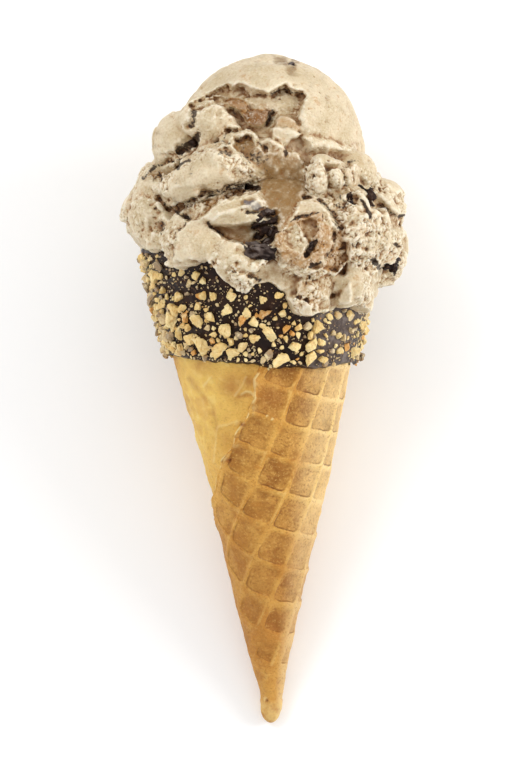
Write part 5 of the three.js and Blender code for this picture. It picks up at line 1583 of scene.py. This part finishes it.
def nutMaterial():
    shader = Shader("nut")
    tone, cloud, fine = shader.attribute("tone"), shader.noise(2.0, 3), shader.noise(0.6, 3)
    base = shader.mix(shader.spread(tone, 0.0, 0.5), colour(240, 215, 154), colour(231, 198, 128))
    base = shader.layers(
        base,
        (shader.spread(tone, 0.5, 0.6), 212, 188, 142),
        (shader.spread(tone, 0.72, 0.78), 160, 138, 108),
        (shader.spread(tone, 0.93, 0.95), 216, 160, 86),
        (shader.spread(cloud, 0.54, 0.7) * 0.55, 204, 152, 78),
        (shader.spread(cloud, 0.47, 0.34) * 0.55, 248, 228, 176),
        (shader.spread(fine, 0.58, 0.72) * 0.45, 168, 118, 60),
    )
    return shader.finish({
        "Base Color": base,
        "Roughness": 0.5,
        "Normal": shader.bump(fine, 0.2, 0.7),
        "Subsurface Weight": 0.12,
        "Subsurface Radius": (1.0, 0.7, 0.4),
        "Subsurface Scale": 0.001,
    })


def makeDip():
    coat = finishPiece("chocolateCoat", chocolateCoat(), chocolateMaterial("chocolateCoat", 0.8),
                       "nutty_chocolate", "chocolate_dip")
    placed, big, small = placeNuts()
    material = nutMaterial()
    pieces = {"choppedNuts": placed[:big], "smallNuts": placed[big:small], "nutCrumbs": placed[small:]}
    counts = []
    for name, some in pieces.items():
        *shape, stand = nuts[name]
        mesh = joinNuts(name, some, nutShapes(*shape), stand)
        mesh.set_sharp_from_angle(angle=math.radians(nuts["sharpAngle"]))
        finishPiece(name, mesh, material, "nutty_chocolate", "chocolate_dip")
        counts += [len(some), len(mesh.polygons)]
    print("chocolate and nuts", len(coat.data.polygons), counts)


# Chocolate chunks
chunkValues = {
    "bevel": 0.4,
    "cuts": 5,
    "uneven": 0.62,
    "facet": 2.0,              # size of the broken faces
    # shards in the ice cream: place on the front plane, length, width, turn, sheen
    "shards": [
        (-1.6, 53.2, 4.2, 1.8, 40, 0.3), (1.6, 53.6, 2.6, 1.2, -20, 0.0), (0.3, 51.3, 9.0, 1.1, 8, 0.0),
        (-3.8, 49.9, 6.0, 1.0, 14, 0.4), (1.3, 48.9, 6.4, 1.2, 12, 0.0), (-2.5, 46.4, 4.4, 1.6, -30, 0.3),
        (1.6, 45.1, 4.6, 1.8, 28, 0.6), (2.8, 47.6, 2.6, 1.3, 60, 0.2),
    ],
    "shardThick": 1.5,
}


def brokenPiece(mesh, size, seed):  # faces and edges as chocolate breaks
    points, normals = meshPoints(mesh), meshNormals(mesh)
    near, second, middle, offset = cellNoise(points, chunkValues["facet"], seed)
    lean = np.stack([cellDraw(middle, turn) - 0.5 for turn in (1, 2, 3)], axis=1)
    push = 2.4 * (offset * lean).sum(axis=1) + 1.1 * (cellDraw(middle, 4) - 0.6)
    push -= 0.5 * (1 - smoothStep(second - near, 0.0, 0.16))
    push += 0.25 * softNoise(points, 1.0, seed)
    setPoints(mesh, points + size * push[:, None] * normals)


def makeChunks(tree):  # the tree is of the lower ice cream
    names = sorted(name for name in cadNodes if name.startswith("chocolate_chunk"))
    bm = bmesh.new()
    sheens = []
    for number, (name, corners) in enumerate(zip(names, chunkCorners())):
        part = bmesh.new()
        part.from_mesh(cadNodes[name].data)
        for vert, corner in zip(part.verts, corners):
            vert.co = corner
        bmesh.ops.remove_doubles(part, verts=part.verts, dist=1e-3)
        bmesh.ops.dissolve_limit(part, angle_limit=math.radians(4), verts=part.verts, edges=part.edges)
        addBroken(bm, part, chunkValues["uneven"], number, sheens, 0.15 + 0.85 * (number % 3 == 0))
    draws = random.Random(3)
    for number, (x, y, length, width, turn, sheen) in enumerate(chunkValues["shards"]):
        found = tree.ray_cast(eye, sightLine(x, y))[0]
        if found is None:
            continue
        part = bmesh.new()
        bmesh.ops.create_cube(part, size=1.0)
        for vert in part.verts:
            vert.co = Vector((vert.co.x * length, vert.co.y * width, vert.co.z * chunkValues["shardThick"]))
            vert.co *= draws.uniform(0.7, 1.1)
        tilt = Matrix.Rotation(math.radians(turn), 4, "Z") @ Matrix.Rotation(draws.gauss(0, 0.3), 4, "Y")
        bmesh.ops.transform(part, matrix=Matrix.Translation(found) @ tilt, verts=part.verts)
        addBroken(bm, part, 0.3, number + 20, sheens, sheen)
    mesh = meshFrom(bm, "chocolateChunks")
    setPoints(mesh, aboveFloor(meshPoints(mesh)))
    setAttribute(mesh, "sheen", np.array(sheens))
    mesh.set_sharp_from_angle(angle=math.radians(40))
    finishPiece("chocolateChunks", mesh, chocolateMaterial("chunk", 0.85), "chocolate", *names)
    print("chocolate chunks", len(mesh.polygons))


def addBroken(bm, part, uneven, seed, sheens, sheen):
    bmesh.ops.bevel(part, geom=part.edges[:], offset=chunkValues["bevel"] * min(1.0, uneven * 2),
                    affect="EDGES", segments=2, profile=0.5, material=-1)
    bmesh.ops.triangulate(part, faces=part.faces)
    bmesh.ops.subdivide_edges(part, edges=part.edges[:], cuts=chunkValues["cuts"], use_grid_fill=True)
    bmesh.ops.recalc_face_normals(part, faces=part.faces)
    mesh = meshFrom(part, "piece")
    brokenPiece(mesh, uneven, seed)
    bm.from_mesh(mesh)
    # painted sheen: brighter on faces turned towards the upper left and the front, where the light comes
    # from
    lit = smoothStep(meshNormals(mesh) @ np.array([-0.35, 0.6, 0.72]), 0.35, 0.9)
    sheens.extend(sheen * (0.25 + 0.9 * lit))


def makeIceCream():  # returns a tree that a sight line can meet
    material = iceCreamMaterial()
    for name, scoop, node in (("topIceCream", topScoop, "top_scoop"),
                              ("bottomIceCream", bottomScoop, "bottom_scoop")):
        mesh, fields = makeScoop(scoop)
        for field in iceCreamFields:
            setAttribute(mesh, field, fields[field])
        points = meshPoints(mesh).tolist()
        faces = [face.vertices[:] for face in mesh.polygons]
        finishPiece(name, mesh, material, "ice_cream", node)
        print(name, "triangles", sum(len(face) - 2 for face in faces))
    return BVHTree.FromPolygons(points, faces)


lowerTree = makeIceCream()
makeWaffleCone()
makeDip()
makeChunks(lowerTree)


# Floor, light and camera
stageValues = {
    "floorSize": 1.6,
    "floor": (255, 255, 255),
    "world": 0.79,
    "lights": [                # name, place round the cone, size, power, in metres and watts
        ("key", (-0.45, 0.35, 0.72), 0.45, 2.4),
        ("fill", (0.78, 0.12, 0.4), 0.5, 3.9),
    ],
}


def placeCamera():
    data = bpy.data.cameras.new("camera")
    data.sensor_width = cameraValues["sensor"]
    tall = cameraValues["longSide"] * cameraValues["pixel"]
    data.lens = cameraValues["sensor"] * cameraValues["distance"] / tall
    data.clip_start, data.clip_end = 0.05, 20.0
    turned = toWorld.to_3x3() * 1000
    matrix = Matrix([turned @ viewRight, turned @ viewUp, turned @ viewOut]).transposed().to_4x4()
    matrix.translation = toWorld @ eye
    camera = bpy.data.objects.new("camera", data)
    camera.matrix_world = matrix
    bpy.context.scene.collection.objects.link(camera)
    bpy.context.scene.camera = camera


def addLight(name, place, size, power, target):
    data = bpy.data.lights.new(name, "AREA")
    data.shape, data.size, data.energy = "DISK", size, power
    light = bpy.data.objects.new(name, data)
    light.location = place
    light.rotation_euler = (Vector(place) - Vector(target)).to_track_quat("Z", "Y").to_euler()
    bpy.context.scene.collection.objects.link(light)


def setStage():
    low, high = cadBounds
    middle = (low + high) / 2
    bm = bmesh.new()
    bmesh.ops.create_grid(bm, x_segments=1, y_segments=1, size=stageValues["floorSize"],
                          matrix=Matrix.Translation((middle.x, middle.y, 0.0)))
    mesh = meshFrom(bm, "floor")
    shader = Shader("floor")
    mesh.materials.append(shader.finish({"Base Color": colour(*stageValues["floor"]), "Roughness": 0.9}))
    addObject("floor", mesh)
    world = bpy.data.worlds.new("studio")
    world.use_nodes = True
    world.node_tree.nodes["Background"].inputs["Color"].default_value = (1.0, 1.0, 1.0, 1.0)
    world.node_tree.nodes["Background"].inputs["Strength"].default_value = stageValues["world"]
    bpy.context.scene.world = world
    for name, place, size, power in stageValues["lights"]:
        addLight(name, Vector(place) + middle, size, power, middle)
    view = bpy.context.scene.view_settings
    view.view_transform, view.look, view.exposure = "Standard", "None", 0.0


setStage()
placeCamera()
print("stage and camera set")
